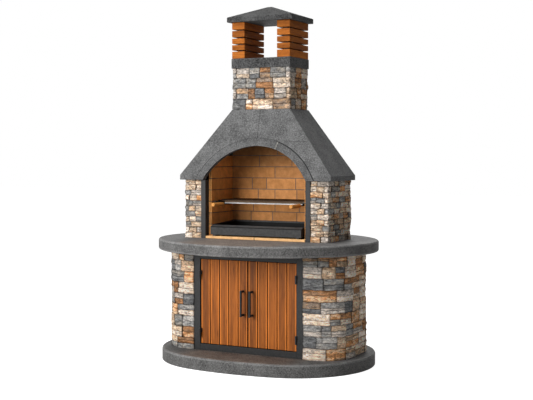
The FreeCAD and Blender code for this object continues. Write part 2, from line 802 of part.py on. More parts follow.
def hinges(side, sign):
    """Lift-off hinges: a lower knuckle on the frame holds the pin, an upper one on the door turns on it."""
    across = f"{sign} * {HINGE_ACROSS}"
    frame_across = mirrored(sign, HINGE_ACROSS, f"{OPENING_HALF_WIDTH} + hinge_plate_width")
    web_outer = f"{HINGE_ACROSS} - hinge_plate"
    web_across = mirrored(sign, f"{HINGE_ACROSS} - knuckle_radius", web_outer)
    strap_across = mirrored(sign, f"{DOOR_OUTER} - hinge_strap_width", web_outer)
    plate_depth = (f"{FRAME_FRONT} - hinge_plate", FRAME_FRONT)
    strap_depth = (f"{DOOR_FRONT} - hinge_plate", DOOR_FRONT)
    fixed = []
    pins = []
    turning = []
    for level in HINGE_LEVELS:
        low = f"({level} - knuckle_length)"
        below = f"({level} - knuckle_gap / 2)"
        above = f"({level} + knuckle_gap / 2)"
        high = f"({level} + knuckle_length)"
        foot = (across, HINGE_ALONG, low)
        middle = (across, HINGE_ALONG, above)
        barrel = cylinder(f"{side}_frame_barrel", "knuckle_radius", f"{below} - {low}", "+z", foot)
        plate = box(f"{side}_frame_plate", frame_across, plate_depth, (low, below))
        seat = cylinder(f"{side}_pin_seat", "pin_radius", f"{below} - {low}", "+z", foot)
        fixed.append(cut(f"{side}_frame_hinge", fuse(f"{side}_frame_knuckle", [barrel, plate]), seat))
        pins.append(cylinder(f"{side}_pin", "pin_radius", f"{high} - {low}", "+z", foot))
        sleeve = cylinder(f"{side}_door_barrel", "knuckle_radius", f"{high} - {above}", "+z", middle)
        web = box(f"{side}_door_web", web_across, (HINGE_ALONG, DOOR_FRONT), (above, high))
        strap = box(f"{side}_door_strap", strap_across, strap_depth, (above, high))
        bore = cylinder(f"{side}_door_bore", "pin_radius + pin_clearance", f"{high} - {above}", "+z", middle)
        turning.append(cut(f"{side}_door_hinge", fuse(f"{side}_door_knuckle", [sleeve, web, strap]), bore))
    keep(f"{side}_frame_hinges", group(f"{side}_frame_hinges", fixed))
    keep(f"{side}_hinge_pins", group(f"{side}_hinge_pins", pins))
    keep(f"{side}_door_hinges", group(f"{side}_door_hinges", turning))


def door_handle(side, sign):
    """Round upright bar with a stem to the planks at each end."""
    across = f"{sign} * handle_inset"
    level = "(plinth_thickness + handle_level)"
    bar_along = f"({DOOR_FRONT} - handle_standoff)"
    bar = cylinder(f"{side}_handle_bar", "handle_radius", "handle_length", "+z",
                   (across, bar_along, f"{level} - handle_length / 2"))
    stems = [cylinder(f"{side}_handle_stem", "handle_stem_radius", "handle_standoff", "+y",
                      (across, bar_along, f"{level} + {way} * (handle_length / 2 - handle_radius)"))
             for way in (-1, 1)]
    keep(f"{side}_door_handle", fuse(f"{side}_door_handle", [bar, *stems]))


for side, sign in SIDES:
    door_boards(side, sign)
    door_ledges(side, sign)
    hinges(side, sign)
    door_handle(side, sign)


# Pillars, posts and the back of the firebox

PILLAR_SPAN = (WORKTOP_TOP, HOOD_BOTTOM)


def post(side, sign):
    """Steel angle that closes the front edge of a pillar, with its return along the firebox."""
    front = "-pillar_half_depth"
    corners = [
        (POST_INNER, front), (PILLAR_STONE_INNER, front),
        (PILLAR_STONE_INNER, f"{front} + post_thickness"),
        (f"{POST_INNER} + post_thickness", f"{front} + post_thickness"),
        (f"{POST_INNER} + post_thickness", f"{front} + post_return"), (POST_INNER, f"{front} + post_return")]
    corners = [(f"{sign} * ({across})", along) for across, along in corners]
    keep(f"{side}_post", prism(f"{side}_post", "XY_Plane", corners, WORKTOP_TOP, "pillar_height"))


def pillar_core(side, sign):
    """Masonry core, with a board that carries the side bricks on up inside the hood."""
    depth = (f"-{CORE_HALF_DEPTH}", CORE_HALF_DEPTH)
    core = box(f"{side}_core_block", mirrored(sign, CORE_INNER, CORE_OUTER), depth, PILLAR_SPAN)
    top = brick_top(SIDE_BRICK_COURSES - 1)
    board = box(f"{side}_core_board", mirrored(sign, CORE_INNER, f"{CORE_INNER} + lining_board"),
                (f"{hood_clear_front(top)} + brick_joint", CORE_HALF_DEPTH), (HOOD_BOTTOM, top))
    keep(f"{side}_pillar_core", fuse(f"{side}_pillar_core", [core, board]))


for side, sign in SIDES:
    pillar_core(side, sign)
    post(side, sign)
keep("firebox_back_panel", box("firebox_back_panel", (f"-{PILLAR_STONE_INNER}", PILLAR_STONE_INNER),
                               ("firebox_back", HOOD_BACK), PILLAR_SPAN))
HEARTH_FRONT = "(-pillar_half_depth - hearth_lip)"
keep("hearth_tiles", group("hearth_tiles", [
    box("hearth_tile", mirrored(sign, "hearth_joint / 2", CORE_INNER), (HEARTH_FRONT, "firebox_back"),
        (WORKTOP_TOP, HEARTH_TOP)) for side, sign in SIDES]))


# Firebricks

# Lengths of the back bricks along each course, from the hearth up and from left to right
BACK_BRICKS = ("26 26 28", "18 18 20 24", "20 18 20 22", "24 14 18 24", "19 12 24 25", "38 42", "25 27 28",
               "40 40")


def brick_runs(low, high, course):
    """Start and end of each brick of a course that fills the wall between two limits."""
    joint = value("brick_joint")
    shares = [float(share) for share in course.split()]
    scale = (high - low + joint) / sum(shares)
    start = low
    for share in shares:
        yield start, start + share * scale - joint
        start += share * scale


def firebricks():
    """Back lining and single bricks along each side, cut where they would meet the sloping hood."""
    inner = value(BRICK_INNER)
    outer = value(CORE_INNER)
    face = value(BRICK_BACK_FACE)
    joint = value("brick_joint")
    height = value("brick_height")
    back_bricks = []
    for row in range(BACK_BRICK_COURSES):
        top = value(brick_top(row))
        half = min(outer, value(hood_clear_half_width(brick_top(row))) - joint)
        along = (face, value("firebox_back"))
        course = BACK_BRICKS[row % len(BACK_BRICKS)]
        back_bricks += [block(run, along, (top - height, top)) for run in brick_runs(-half, half, course)]
    masonry("back_firebricks", back_bricks)
    for side, sign in SIDES:
        side_bricks = []
        for row in range(SIDE_BRICK_COURSES):
            top = value(brick_top(row))
            front = max(value(f"-{CORE_HALF_DEPTH}"), value(hood_clear_front(brick_top(row))) + joint)
            along = (front, face - joint)
            side_bricks.append(block((sign * inner, sign * outer), along, (top - height, top)))
        masonry(f"{side}_firebricks", side_bricks)


firebricks()


# Grill and its rails

RAIL_DEPTH = (f"rail_end_gap - {CORE_HALF_DEPTH}", f"{CORE_HALF_DEPTH} - rail_end_gap")


def grill_rail(side, sign):
    """Steel angle built into a brick joint, with a lip turned down."""
    tip = f"({BRICK_INNER} - rail_reach)"
    shelf = box(f"{side}_rail_shelf", mirrored(sign, tip, CORE_INNER), RAIL_DEPTH, (RAIL_BOTTOM, RAIL_TOP))
    lip = box(f"{side}_rail_lip", mirrored(sign, tip, f"{tip} + {RAIL_TOP} - {RAIL_BOTTOM}"), RAIL_DEPTH,
              (f"{RAIL_TOP} - rail_lip", RAIL_TOP))
    keep(f"{side}_grill_rail", fuse(f"{side}_grill_rail", [shelf, lip]))


def grill_frame():
    """Round bar on all sides, with a flat strip hung under its front and its back."""
    half = "(grill_half_width - grill_bar_radius)"
    front = "(grill_bar_radius - grill_front)"
    back = "(grill_back - grill_bar_radius)"
    strip_half = f"({TANG_ACROSS} + grill_bar_radius)"
    solids = [cylinder("grill_end", "grill_bar_radius", f"{back} - {front}", "+y",
                       (f"{sign} * {half}", front, GRILL_LEVEL)) for side, sign in SIDES]
    for along in (front, back):
        solids.append(cylinder("grill_edge", "grill_bar_radius", "2 * grill_half_width", "+x",
                               ("-grill_half_width", along, GRILL_LEVEL)))
        solids.append(box("grill_strip", (f"-{strip_half}", strip_half),
                          (f"{along} - grill_face / 2", f"{along} + grill_face / 2"),
                          (STRIP_BOTTOM, GRILL_LEVEL)))
    keep("grill_frame", fuse("grill_frame", solids, refine=False))


def grill_bars():
    """Thin bars from front to back, across the frame."""
    level = f"({GRILL_LEVEL} + grill_bar_radius + weld_gap + cross_bar_radius)"
    clear = value("grill_half_width - 2 * grill_bar_radius - cross_bar_pitch / 2")
    count = 2 * math.floor(clear / value("cross_bar_pitch")) + 1
    bars = []
    for number in range(count):
        across = f"{number - count // 2} * cross_bar_pitch"
        bars.append(thin_bar("grill_bar", "cross_bar_radius", "grill_front + grill_back", "+y",
                             (across, "-grill_front", level)))
    keep("grill_bars", group("grill_bars", bars))


TANG_FRONT = "(-grip_start - tang_grip)"
TANG_ACROSS = "(grill_half_width - tang_inset)"


def grill_tangs():
    """Two rods under the strips that carry the grips."""
    rods = [cylinder(f"{side}_tang", "grill_bar_radius", f"grill_back - {TANG_FRONT}", "+y",
                     (f"{sign} * {TANG_ACROSS}", TANG_FRONT, TANG_LEVEL)) for side, sign in SIDES]
    keep("grill_tangs", group("grill_tangs", rods))


def grill_grip(side, sign):
    """Round wooden grip, bored for its rod and chamfered at the end."""
    root = (f"{sign} * {TANG_ACROSS}", "-grip_start", TANG_LEVEL)
    grip = cylinder(f"{side}_grip_blank", "grip_radius", "grip_length", "-y", root)
    bore_radius = "grill_bar_radius + grip_clearance"
    bore = cylinder(f"{side}_grip_bore", bore_radius, "tang_grip + grip_clearance", "-y", root)
    bored = cut(f"{side}_grip_bored", grip, bore)
    document.recompute()
    ends = [edge.BoundBox.YMin if edge.Closed else math.inf for edge in bored.Shape.Edges]
    eased = document.addObject("Part::Chamfer", f"{side}_grill_grip")
    eased.Base = bored
    easing = value("min(grip_chamfer, grip_radius / 2)")
    eased.Edges = [(ends.index(min(ends)) + 1, easing, easing)]
    keep(f"{side}_grill_grip", eased)


for side, sign in SIDES:
    grill_rail(side, sign)
    grill_grip(side, sign)
grill_frame()
grill_bars()
grill_tangs()


# Charcoal tray

TRAY_DEPTH = ("-tray_front", "tray_back")


def charcoal_tray():
    """Open steel tray on two runners: a shoulder behind its front, and sides that rise to the back."""
    shoulder = "(tray_shoulder - tray_front)"
    front_top = f"({TRAY_LOW} + tray_front_height)"
    shoulder_top = f"({TRAY_LOW} + tray_shoulder_height)"
    back_top = f"({TRAY_LOW} + tray_back_height)"
    outside = prism("tray_outside", "YZ_Plane", [
        ("-tray_front", TRAY_LOW), ("tray_back", TRAY_LOW), ("tray_back", back_top), (shoulder, shoulder_top),
        ("-tray_front", front_top)], f"-{TRAY_HALF_WIDTH}", f"2 * {TRAY_HALF_WIDTH}")
    inner_half = f"({TRAY_HALF_WIDTH} - tray_wall)"
    inner_front = "(tray_wall - tray_front)"
    inner_back = "(tray_back - tray_wall)"
    above = f"{back_top} + tray_wall"
    inside = prism("tray_inside", "YZ_Plane", [
        (inner_front, TRAY_FLOOR), (inner_back, TRAY_FLOOR), (inner_back, above), (shoulder, above),
        (shoulder, f"{shoulder_top} - tray_wall"), (inner_front, f"{front_top} - tray_wall")],
        f"-{inner_half}", f"2 * {inner_half}")
    runner_inner = f"({TRAY_HALF_WIDTH} - tray_runner_inset)"
    runner_outer = f"({runner_inner} + tray_runner_width)"
    runners = [box("tray_runner", mirrored(sign, runner_inner, runner_outer), TRAY_DEPTH,
                   (RUNNER_LOW, f"{TRAY_LOW} + tray_wall / 2")) for side, sign in SIDES]
    keep("charcoal_tray", fuse("charcoal_tray", [cut("tray_shell", outside, inside), *runners]))


def charcoal_grate():
    """Flat bars on edge across two bearers that stand on the tray's floor."""
    half = f"({TRAY_HALF_WIDTH} - tray_wall - grate_margin)"
    depth = ("tray_shoulder + grate_margin - tray_front", "tray_back - tray_wall - grate_margin")
    bearer_top = f"({TRAY_FLOOR} + grate_bearer_height)"
    front_bearer = "(grate_bearer_inset - tray_front)"
    back_bearer = "(tray_back - grate_bearer_inset - grate_bearer_width)"
    solids = []
    for along in (front_bearer, back_bearer):
        bearer_depth = (along, f"{along} + grate_bearer_width")
        solids.append(box("grate_bearer", (f"-{half}", half), bearer_depth, (TRAY_FLOOR, bearer_top)))
    reach = value(f"{half} - grate_bar_width / 2")
    count = 2 * math.floor(reach / value("grate_pitch")) + 1
    for number in range(count):
        middle = f"({number - count // 2} * grate_pitch)"
        across = (f"{middle} - grate_bar_width / 2", f"{middle} + grate_bar_width / 2")
        solids.append(box("grate_bar", across, depth, (bearer_top, f"{bearer_top} + grate_bar_height")))
    keep("charcoal_grate", group("charcoal_grate", solids))


charcoal_tray()
charcoal_grate()


# Hood and arch

HOOD_INNER_HALF = "(hood_half_width - hood_side_wall)"
HOOD_INNER_FRONT = "(hood_front_wall - hood_front)"
HOOD_SPAN = (HOOD_BOTTOM, HOOD_TOP)


def drawn_in(sign):
    """How far a wall on one side leans towards the middle."""
    return f"{sign} * (chimney_half_width - hood_half_width)"


def hood_side(side, sign):
    """Sloping side wall between the front wall's mitre and the back."""
    corners = [(HOOD_INNER_HALF, HOOD_INNER_FRONT), ("hood_half_width", "-hood_front"),
               ("hood_half_width", "firebox_back"), (HOOD_INNER_HALF, "firebox_back")]
    foot = [(f"{sign} * {across}", along) for across, along in corners]
    wall = leaning_wall(f"hood_{side}_side_wall", foot, drawn_in(sign))
    region = box(f"hood_{side}_side_region", mirrored(sign, "0", "hood_half_width"),
                 ("-hood_front", "firebox_back"), HOOD_SPAN)
    keep(f"hood_{side}_side", common(f"hood_{side}_side", wall, region))


def arch_cylinder(name, radius):
    """Round bar through the front wall on the arch's centre line."""
    return cylinder(name, radius, "2 * hood_front", "-y", ("0", "hood_front / 2", ARCH_LEVEL))


def front_half(side, sign):
    """Half of the front wall, cut for the arch ring, with a seam to the other half."""
    corners = [("-hood_half_width", "-hood_front"), ("hood_half_width", "-hood_front"),
               (HOOD_INNER_HALF, HOOD_INNER_FRONT), ("-hood_half_width", HOOD_INNER_FRONT)]
    foot = [(f"{sign} * {across}", along) for across, along in corners]
    wall = leaning_wall(f"hood_{side}_front_wall", foot, drawn_in(sign))
    region = box(f"hood_{side}_front_region", mirrored(sign, "hood_seam / 2", "hood_half_width"),
                 ("-hood_front", "0"), HOOD_SPAN)
    half = common(f"hood_{side}_half", wall, region)
    opening = arch_cylinder(f"hood_{side}_opening", f"{RING_RADIUS} + ring_joint / 2")
    keep(f"hood_front_{side}", cut(f"hood_front_{side}", half, opening))


def arch_ring():
    """Arch of three castings, a crown and two legs, with the front wall's own slope."""
    foot = [("-hood_half_width", "-hood_front"), ("hood_half_width", "-hood_front"),
            ("hood_half_width", HOOD_INNER_FRONT), ("-hood_half_width", HOOD_INNER_FRONT)]
    outside = arch_cylinder("arch_outside", RING_RADIUS)
    inside = arch_cylinder("arch_inside", ARCH_RADIUS)
    band = common("arch_band", leaning_wall("arch_wall", foot, "0"), cut("arch_annulus", outside, inside))
    far = f"(2 * {RING_RADIUS})"
    half_joint = f"(ring_joint / 2 / {RING_RADIUS} * 180 / pi)"

    def ray(angle, sign):
        return (f"{sign} * {far} * sin({angle})", f"{ARCH_LEVEL} + {far} * cos({angle})")
    centre = ("0", ARCH_LEVEL)
    crown_edge = f"(crown_angle - {half_joint})"
    leg_edge = f"(crown_angle + {half_joint})"
    wedges = {
        "crown": [centre, ray(crown_edge, 1), ray(crown_edge, -1)],
        "left": [centre, ray(leg_edge, -1), (f"-{far}", ARCH_LEVEL)],
        "right": [centre, (far, ARCH_LEVEL), ray(leg_edge, 1)]}
    for name, corners in wedges.items():
        wedge = prism(f"arch_{name}_wedge", "XZ_Plane", corners, "0", "2 * hood_front")
        keep(f"arch_ring_{name}", common(f"arch_ring_{name}", band, wedge))


def hood_back():
    """Upright back wall with the hood's own outline."""
    corners = [
        ("-hood_half_width", HOOD_BOTTOM), ("hood_half_width", HOOD_BOTTOM), ("hood_half_width", LIP_TOP),
        ("chimney_half_width", HOOD_TOP), ("-chimney_half_width", HOOD_TOP), ("-hood_half_width", LIP_TOP)]
    keep("hood_back", prism("hood_back", "XZ_Plane", corners, f"-{HOOD_BACK}", "back_panel"))


for side, sign in SIDES:
    hood_side(side, sign)
    front_half(side, sign)
arch_ring()
hood_back()


# Chimney

FLUE_INNER = f"({FLUE_HALF_WIDTH} - flue_wall)"
FLUE_HOLE = ((f"-{FLUE_INNER}", FLUE_INNER), (f"{FLUE_FRONT} + flue_wall", f"{FLUE_BACK} - flue_wall"))


def tube(label, across, along, up):
    """Rectangular block with the flue's hole through it."""
    outside = box(f"{label}_outside", across, along, up)
    hole = box(f"{label}_hole", *FLUE_HOLE, up)
    keep(label, cut(label, outside, hole))


def slat_low(number):
    """Underside of a slat, counted from the collar."""
    timber = f"(slat_stack - {len(SLAT_SHARES) - 1} * slat_gap)"
    share = sum(SLAT_SHARES[:number]) / sum(SLAT_SHARES)
    return f"({COLLAR_TOP} + {share} * {timber} + {number} * slat_gap)"


def chimney_slats():
    """Two stacks of timber slats with spacers between them, open in the middle."""
    inner = "(chimney_half_width - slat_width)"
    spacers = []
    for side, sign in SIDES:
        slats = []
        for number in range(len(SLAT_SHARES)):
            high = f"({slat_low(number + 1)} - slat_gap)"
            slats.append(box(f"{side}_slat", mirrored(sign, inner, "chimney_half_width"),
                             ("-chimney_front", "chimney_back"), (slat_low(number), high)))
            if number == 0:
                continue
            across = mirrored(sign, f"{inner} + spacer_inset", f"{inner} + spacer_inset + spacer_size")
            for along in ("(spacer_inset - chimney_front)", "(chimney_back - spacer_inset - spacer_size)"):
                spacers.append(box("slat_spacer", across, (along, f"{along} + spacer_size"),
                                   (f"{slat_low(number)} - slat_gap", slat_low(number))))
        keep(f"{side}_chimney_slats", group(f"{side}_chimney_slats", slats))
    keep("slat_spacers", group("slat_spacers", spacers))


def chimney_cap():
    """Cast cap: a square-edged eave and a low hipped top."""
    half = "(chimney_half_width + cap_overhang)"
    front = "(-chimney_front - cap_overhang)"
    back = "(chimney_back + cap_overhang)"
    middle = "((chimney_back - chimney_front) / 2)"
    eave = box("cap_eave_slab", (f"-{half}", half), (front, back), (SLATS_TOP, CAP_EAVE_TOP))
    hip = document.addObject("Part::Wedge", "cap_hip")
    limits = {
        "Xmin": f"-{half}", "Xmax": half, "X2min": "-cap_top_width / 2", "X2max": "cap_top_width / 2",
        "Ymin": "0", "Ymax": "cap_rise",
        "Zmin": f"-{back}", "Zmax": f"-{front}",
        "Z2min": f"-{middle} - cap_top_depth / 2", "Z2max": f"cap_top_depth / 2 - {middle}"}
    for limit, text in limits.items():
        hip.setExpression(limit, bound(text))
    place(hip, "-y", ("0", "0", CAP_EAVE_TOP))
    keep("chimney_cap", fuse("chimney_cap", [eave, hip]))


tube("chimney_flue", (f"-{FLUE_HALF_WIDTH}", FLUE_HALF_WIDTH), (FLUE_FRONT, FLUE_BACK),
     (HOOD_TOP, CHIMNEY_TOP))
tube("chimney_collar", ("-chimney_half_width - collar_overhang", "chimney_half_width + collar_overhang"),
     ("-chimney_front - collar_overhang", "chimney_back + collar_overhang"), (CHIMNEY_TOP, COLLAR_TOP))
chimney_slats()
chimney_cap()


# Finished model

document.recompute()
for item in document.Objects:
    if "Invalid" in item.State or "Error" in item.State:
        raise RuntimeError(f"{item.Label} failed: {item.State}")
for piece in pieces:
    if piece.Shape.isNull() or not piece.Shape.isValid() or not piece.Shape.Solids:
        raise RuntimeError(f"{piece.Label} has no valid solid")

os.makedirs("parts", exist_ok=True)
for piece in pieces:
    piece.Shape.exportStep(f"parts/{piece.Label}.step")
    print(piece.Label, len(piece.Shape.Solids), round(piece.Shape.Volume / 1000, 1), "cm3")
print(len(pieces), "sub-parts")
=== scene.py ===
import json
import math
import random

import bmesh
import bpy
from mathutils import Matrix, Vector, noise


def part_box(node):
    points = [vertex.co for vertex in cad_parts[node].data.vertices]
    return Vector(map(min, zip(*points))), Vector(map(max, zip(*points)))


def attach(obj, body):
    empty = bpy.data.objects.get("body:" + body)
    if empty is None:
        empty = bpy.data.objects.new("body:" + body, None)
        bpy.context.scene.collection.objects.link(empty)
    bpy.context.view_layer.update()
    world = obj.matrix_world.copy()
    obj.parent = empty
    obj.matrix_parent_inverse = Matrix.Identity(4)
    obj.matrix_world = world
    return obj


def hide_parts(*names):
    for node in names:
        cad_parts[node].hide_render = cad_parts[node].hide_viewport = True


# Stone garden barbecue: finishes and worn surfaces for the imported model. Metres.

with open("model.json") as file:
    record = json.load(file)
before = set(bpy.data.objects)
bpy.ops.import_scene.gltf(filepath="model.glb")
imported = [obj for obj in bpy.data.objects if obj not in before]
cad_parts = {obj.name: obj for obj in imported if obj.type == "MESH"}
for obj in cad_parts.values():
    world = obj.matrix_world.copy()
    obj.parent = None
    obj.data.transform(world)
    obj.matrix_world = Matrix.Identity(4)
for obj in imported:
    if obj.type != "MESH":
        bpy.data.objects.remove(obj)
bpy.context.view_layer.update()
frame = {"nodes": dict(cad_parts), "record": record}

BODY_OF = {node: body for body, nodes in frame["record"]["behaviour"]["bodies"].items() for node in nodes}
SIDES = {"left": -1, "right": 1}
FRONT = Vector((0, -1, 0))
BACK = Vector((0, 1, 0))
LEFT = Vector((-1, 0, 0))
RIGHT = Vector((1, 0, 0))
WHITE = (1.0, 1.0, 1.0, 1.0)


# Node helpers

def put(tree, kind, inputs=None, **options):
    """Adds a node, sets its options, and fills its inputs with values or links."""
    made = tree.nodes.new(kind)
    for option, choice in options.items():
        setattr(made, option, choice)
    for socket, content in (inputs or {}).items():
        if isinstance(content, bpy.types.NodeSocket):
            tree.links.new(content, made.inputs[socket])
        else:
            made.inputs[socket].default_value = content
    return made


def mixed(tree, factor, first, second, blend="MIX"):
    """Colour mix of two colours or links."""
    made = put(tree, "ShaderNodeMix", {0: factor, 6: first, 7: second}, data_type="RGBA", blend_type=blend)
    return made.outputs[2]


def tinted(tree, surface, tint):
    """Colour multiplied by another colour or by a value."""
    return mixed(tree, 1.0, surface, tint, "MULTIPLY")


def shade_of(colour, factor):
    """Darker or lighter version of a colour."""
    return (*[channel * factor for channel in colour[:3]], 1.0)


def toned(tree, factor, colour, tones):
    """Colour that runs from a darker to a lighter version of itself."""
    darker, lighter = tones
    return mixed(tree, factor, shade_of(colour, darker), shade_of(colour, lighter))


def maths(tree, operation, first, second=0.0):
    return put(tree, "ShaderNodeMath", {0: first, 1: second}, operation=operation).outputs[0]


def times(tree, first, second):
    return maths(tree, "MULTIPLY", first, second)


def sum_of(tree, *shares):
    """Sum of some values, each times its share."""
    parts = [times(tree, value, share) for value, share in shares]
    total = parts[0]
    for part in parts[1:]:
        total = maths(tree, "ADD", total, part)
    return total


def distance(tree, value, mark):
    """How far a value lies from a mark."""
    return maths(tree, "ABSOLUTE", maths(tree, "SUBTRACT", value, mark))


def spread(tree, value, low, high, to_low=0.0, to_high=1.0):
    """Maps a value from one range onto another, held at both ends."""
    inputs = {"Value": value, "From Min": low, "From Max": high, "To Min": to_low, "To Max": to_high}
    return put(tree, "ShaderNodeMapRange", inputs).outputs["Result"]


def falling(tree, value, low, high, most=1.0):
    """Drops from its most to 0 as a value passes from one limit to the other."""
    return spread(tree, value, low, high, most, 0.0)


def cloud(tree, vector, pattern):
    """Noise from 0 to 1 in a pattern of waves, detail and roughness."""
    scale, detail, roughness = pattern
    inputs = {"Vector": vector, "Scale": scale, "Detail": detail, "Roughness": roughness}
    return put(tree, "ShaderNodeTexNoise", inputs).outputs["Fac"]


def creases(tree, vector, pattern, width, most=1.0):
    """Thin lines along which a noise passes its middle."""
    return falling(tree, distance(tree, cloud(tree, vector, pattern), 0.5), 0.0, width, most)


def scaled(tree, vector, factors, shift=None):
    """Coordinates multiplied along each axis, and moved by a link."""
    inputs = {"Vector": vector, "Scale": factors}
    if shift is not None:
        inputs["Location"] = shift
    return put(tree, "ShaderNodeMapping", inputs).outputs["Vector"]


def axes_of(tree, vector):
    """X, Y and Z of a vector."""
    return put(tree, "ShaderNodeSeparateXYZ", {"Vector": vector}).outputs


def attribute(tree, name, output):
    return put(tree, "ShaderNodeAttribute", attribute_name=name).outputs[output]


def own_number(tree, channel):
    """One of the random numbers that each stone, brick or board has."""
    own = attribute(tree, "piece_random", "Color")
    return put(tree, "ShaderNodeSeparateColor", {"Color": own}).outputs[channel]


def own_grain(tree, coordinates, stretch, jumps):
    """Coordinates stretched against the grain, with another place in it for each stone or board."""
    own = attribute(tree, "piece_random", "Color")
    shift = put(tree, "ShaderNodeVectorMath", {0: own, 1: jumps}, operation="MULTIPLY").outputs["Vector"]
    return scaled(tree, coordinates, stretch, shift)


def within(tree, coordinates, low, high):
    """1 inside a box that lies square to the axes, 0 outside."""
    middle = [(near + far) / 2 for near, far in zip(low, high)]
    offset = put(tree, "ShaderNodeVectorMath", {0: coordinates, 1: middle}, operation="SUBTRACT")
    away = put(tree, "ShaderNodeVectorMath", {0: offset.outputs["Vector"]}, operation="ABSOLUTE")
    distances = axes_of(tree, away.outputs["Vector"])
    inside = 1.0
    for axis, near, far in zip("XYZ", low, high):
        inside = times(tree, maths(tree, "LESS_THAN", distances[axis], (far - near) / 2), inside)
    return inside


# Shared effects

# Patterns of noise: waves per metre, detail and roughness.
# Those of wood and of trowel sweeps run along coordinates that are stretched first.
CAST_MOTTLE = (9.0, 4.0, 0.6)
CAST_PATCHES = (105.0, 3.0, 0.7)
CAST_SAND = (190.0, 2.0, 0.7)
SCRATCHES = (13.0, 5.0, 0.65)
SCRATCHED_SPOTS = (5.0, 2.0, 0.5)
WOOD_WARP = (0.35, 2.0, 0.5)
WOOD_BANDS = (1.0, 5.0, 0.62)
WOOD_STREAKS = (3.6, 3.0, 0.6)
WOOD_PORES = (9.0, 2.0, 0.5)
STEEL_CLOUDS = (16.0, 4.0, 0.6)
STEEL_MARKS = (60.0, 4.0, 0.7)
STEEL_PEEL = (420.0, 2.0, 0.5)
STONE_PATCHES = (11.0, 4.0, 0.65)
STONE_BREAKS = (27.0, 6.0, 0.8)
STONE_PITS = (66.0, 3.0, 0.65)
STONE_CREASES = (15.0, 4.0, 0.6)
CREASED_SPOTS = (31.0, 2.0, 0.5)
STONE_GRIT = (230.0, 2.0, 0.6)
STONE_LUMPS = (38.0, 2.0, 0.5)
CLAY_CLOUDS = (26.0, 4.0, 0.6)
CLAY_PITS = (240.0, 2.0, 0.6)
SOOT_DRIFTS = (7.0, 3.0, 0.6)
TROWEL_SWEEPS = (1.0, 5.0, 0.7)

# Ranges are two limits of a noise or a mask and, where four numbers stand, what the limits become.
# Nearly all of a noise lies in the first one.
NOISE_SPAN = (0.3, 0.7)

# Cast stone: flecks per metre, their core and fading rim, where they gather, and its scratches
FLECK_CELLS = 95.0
FLECK_RIM = (0.16, 0.34)
FLECK_SPOTS = (0.46, 0.60)
SCRATCH_WIDTH = 0.010
SCRATCH_STRENGTH = 0.7
SCRATCHED = (0.50, 0.60)

PORE_RIM = (0.30, 0.42)
MARKED = (0.35, 0.7)


def make_group(name, work_out, outputs):
    """Shader node group whose outputs a function works out from its coordinates."""
    tree = bpy.data.node_groups.new(name, "ShaderNodeTree")
    tree.interface.new_socket("Vector", in_out="INPUT", socket_type="NodeSocketVector")
    for socket in outputs:
        tree.interface.new_socket(socket, in_out="OUTPUT", socket_type="NodeSocketFloat")
    vector = tree.nodes.new("NodeGroupInput").outputs["Vector"]
    target = tree.nodes.new("NodeGroupOutput")
    for socket, link in zip(outputs, work_out(tree, vector)):
        tree.links.new(link, target.inputs[socket])
    return tree


def place_group(tree, group, vector):
    """Outputs of a shared effect at some coordinates."""
    return put(tree, "ShaderNodeGroup", {"Vector": vector}, node_tree=group).outputs


def cast_grain(tree, vector):
    """Mottling, sand, and pale flecks and scratches of cast basalt stone, and its relief."""
    patches = cloud(tree, vector, CAST_PATCHES)
    sand = cloud(tree, vector, CAST_SAND)
    mottle = sum_of(tree, (cloud(tree, vector, CAST_MOTTLE), 0.4), (patches, 0.6))
    cells = put(tree, "ShaderNodeTexVoronoi", {"Vector": vector, "Scale": FLECK_CELLS}).outputs["Distance"]
    flecks = times(tree, falling(tree, cells, *FLECK_RIM), spread(tree, patches, *FLECK_SPOTS))
    scratches = times(tree, creases(tree, vector, SCRATCHES, SCRATCH_WIDTH, SCRATCH_STRENGTH),
                      spread(tree, cloud(tree, vector, SCRATCHED_SPOTS), *SCRATCHED))
    height = sum_of(tree, (patches, 0.6), (sand, 0.4))
    return mottle, sand, maths(tree, "MAXIMUM", flecks, scratches), height


def wood_figure(tree, vector):
    """Growth bands and fine pores of oiled hardwood, and its relief."""
    streaks = cloud(tree, vector, WOOD_STREAKS)
    pores = falling(tree, cloud(tree, vector, WOOD_PORES), *PORE_RIM)
    figure = sum_of(tree, (cloud(tree, vector, WOOD_BANDS), 0.55), (streaks, 0.3),
                    (cloud(tree, vector, WOOD_WARP), 0.15))
    return figure, pores, sum_of(tree, (streaks, 0.5), (pores, -0.5))


def steel_skin(tree, vector):
    """Tone and handling marks of coated or bare steel, and its fine orange peel."""
    marks = spread(tree, cloud(tree, vector, STEEL_MARKS), *MARKED)
    return cloud(tree, vector, STEEL_CLOUDS), marks, cloud(tree, vector, STEEL_PEEL)


CAST_GRAIN = make_group("cast_grain", cast_grain, ("Mottle", "Grain", "Fleck", "Height"))
WOOD_FIGURE = make_group("wood_figure", wood_figure, ("Figure", "Pores", "Height"))
STEEL_SKIN = make_group("steel_skin", steel_skin, ("Tone", "Marks", "Height"))


# Materials

def new_material(name):
    """Empty material with its shader and its object coordinates."""
    material = bpy.data.materials.new(name)
    material.use_nodes = True
    tree = material.node_tree
    tree.nodes.clear()
    shader = put(tree, "ShaderNodeBsdfPrincipled")
    put(tree, "ShaderNodeOutputMaterial", {"Surface": shader.outputs["BSDF"]})
    coordinates = put(tree, "ShaderNodeTexCoord").outputs["Object"]
    return material, tree, shader, coordinates


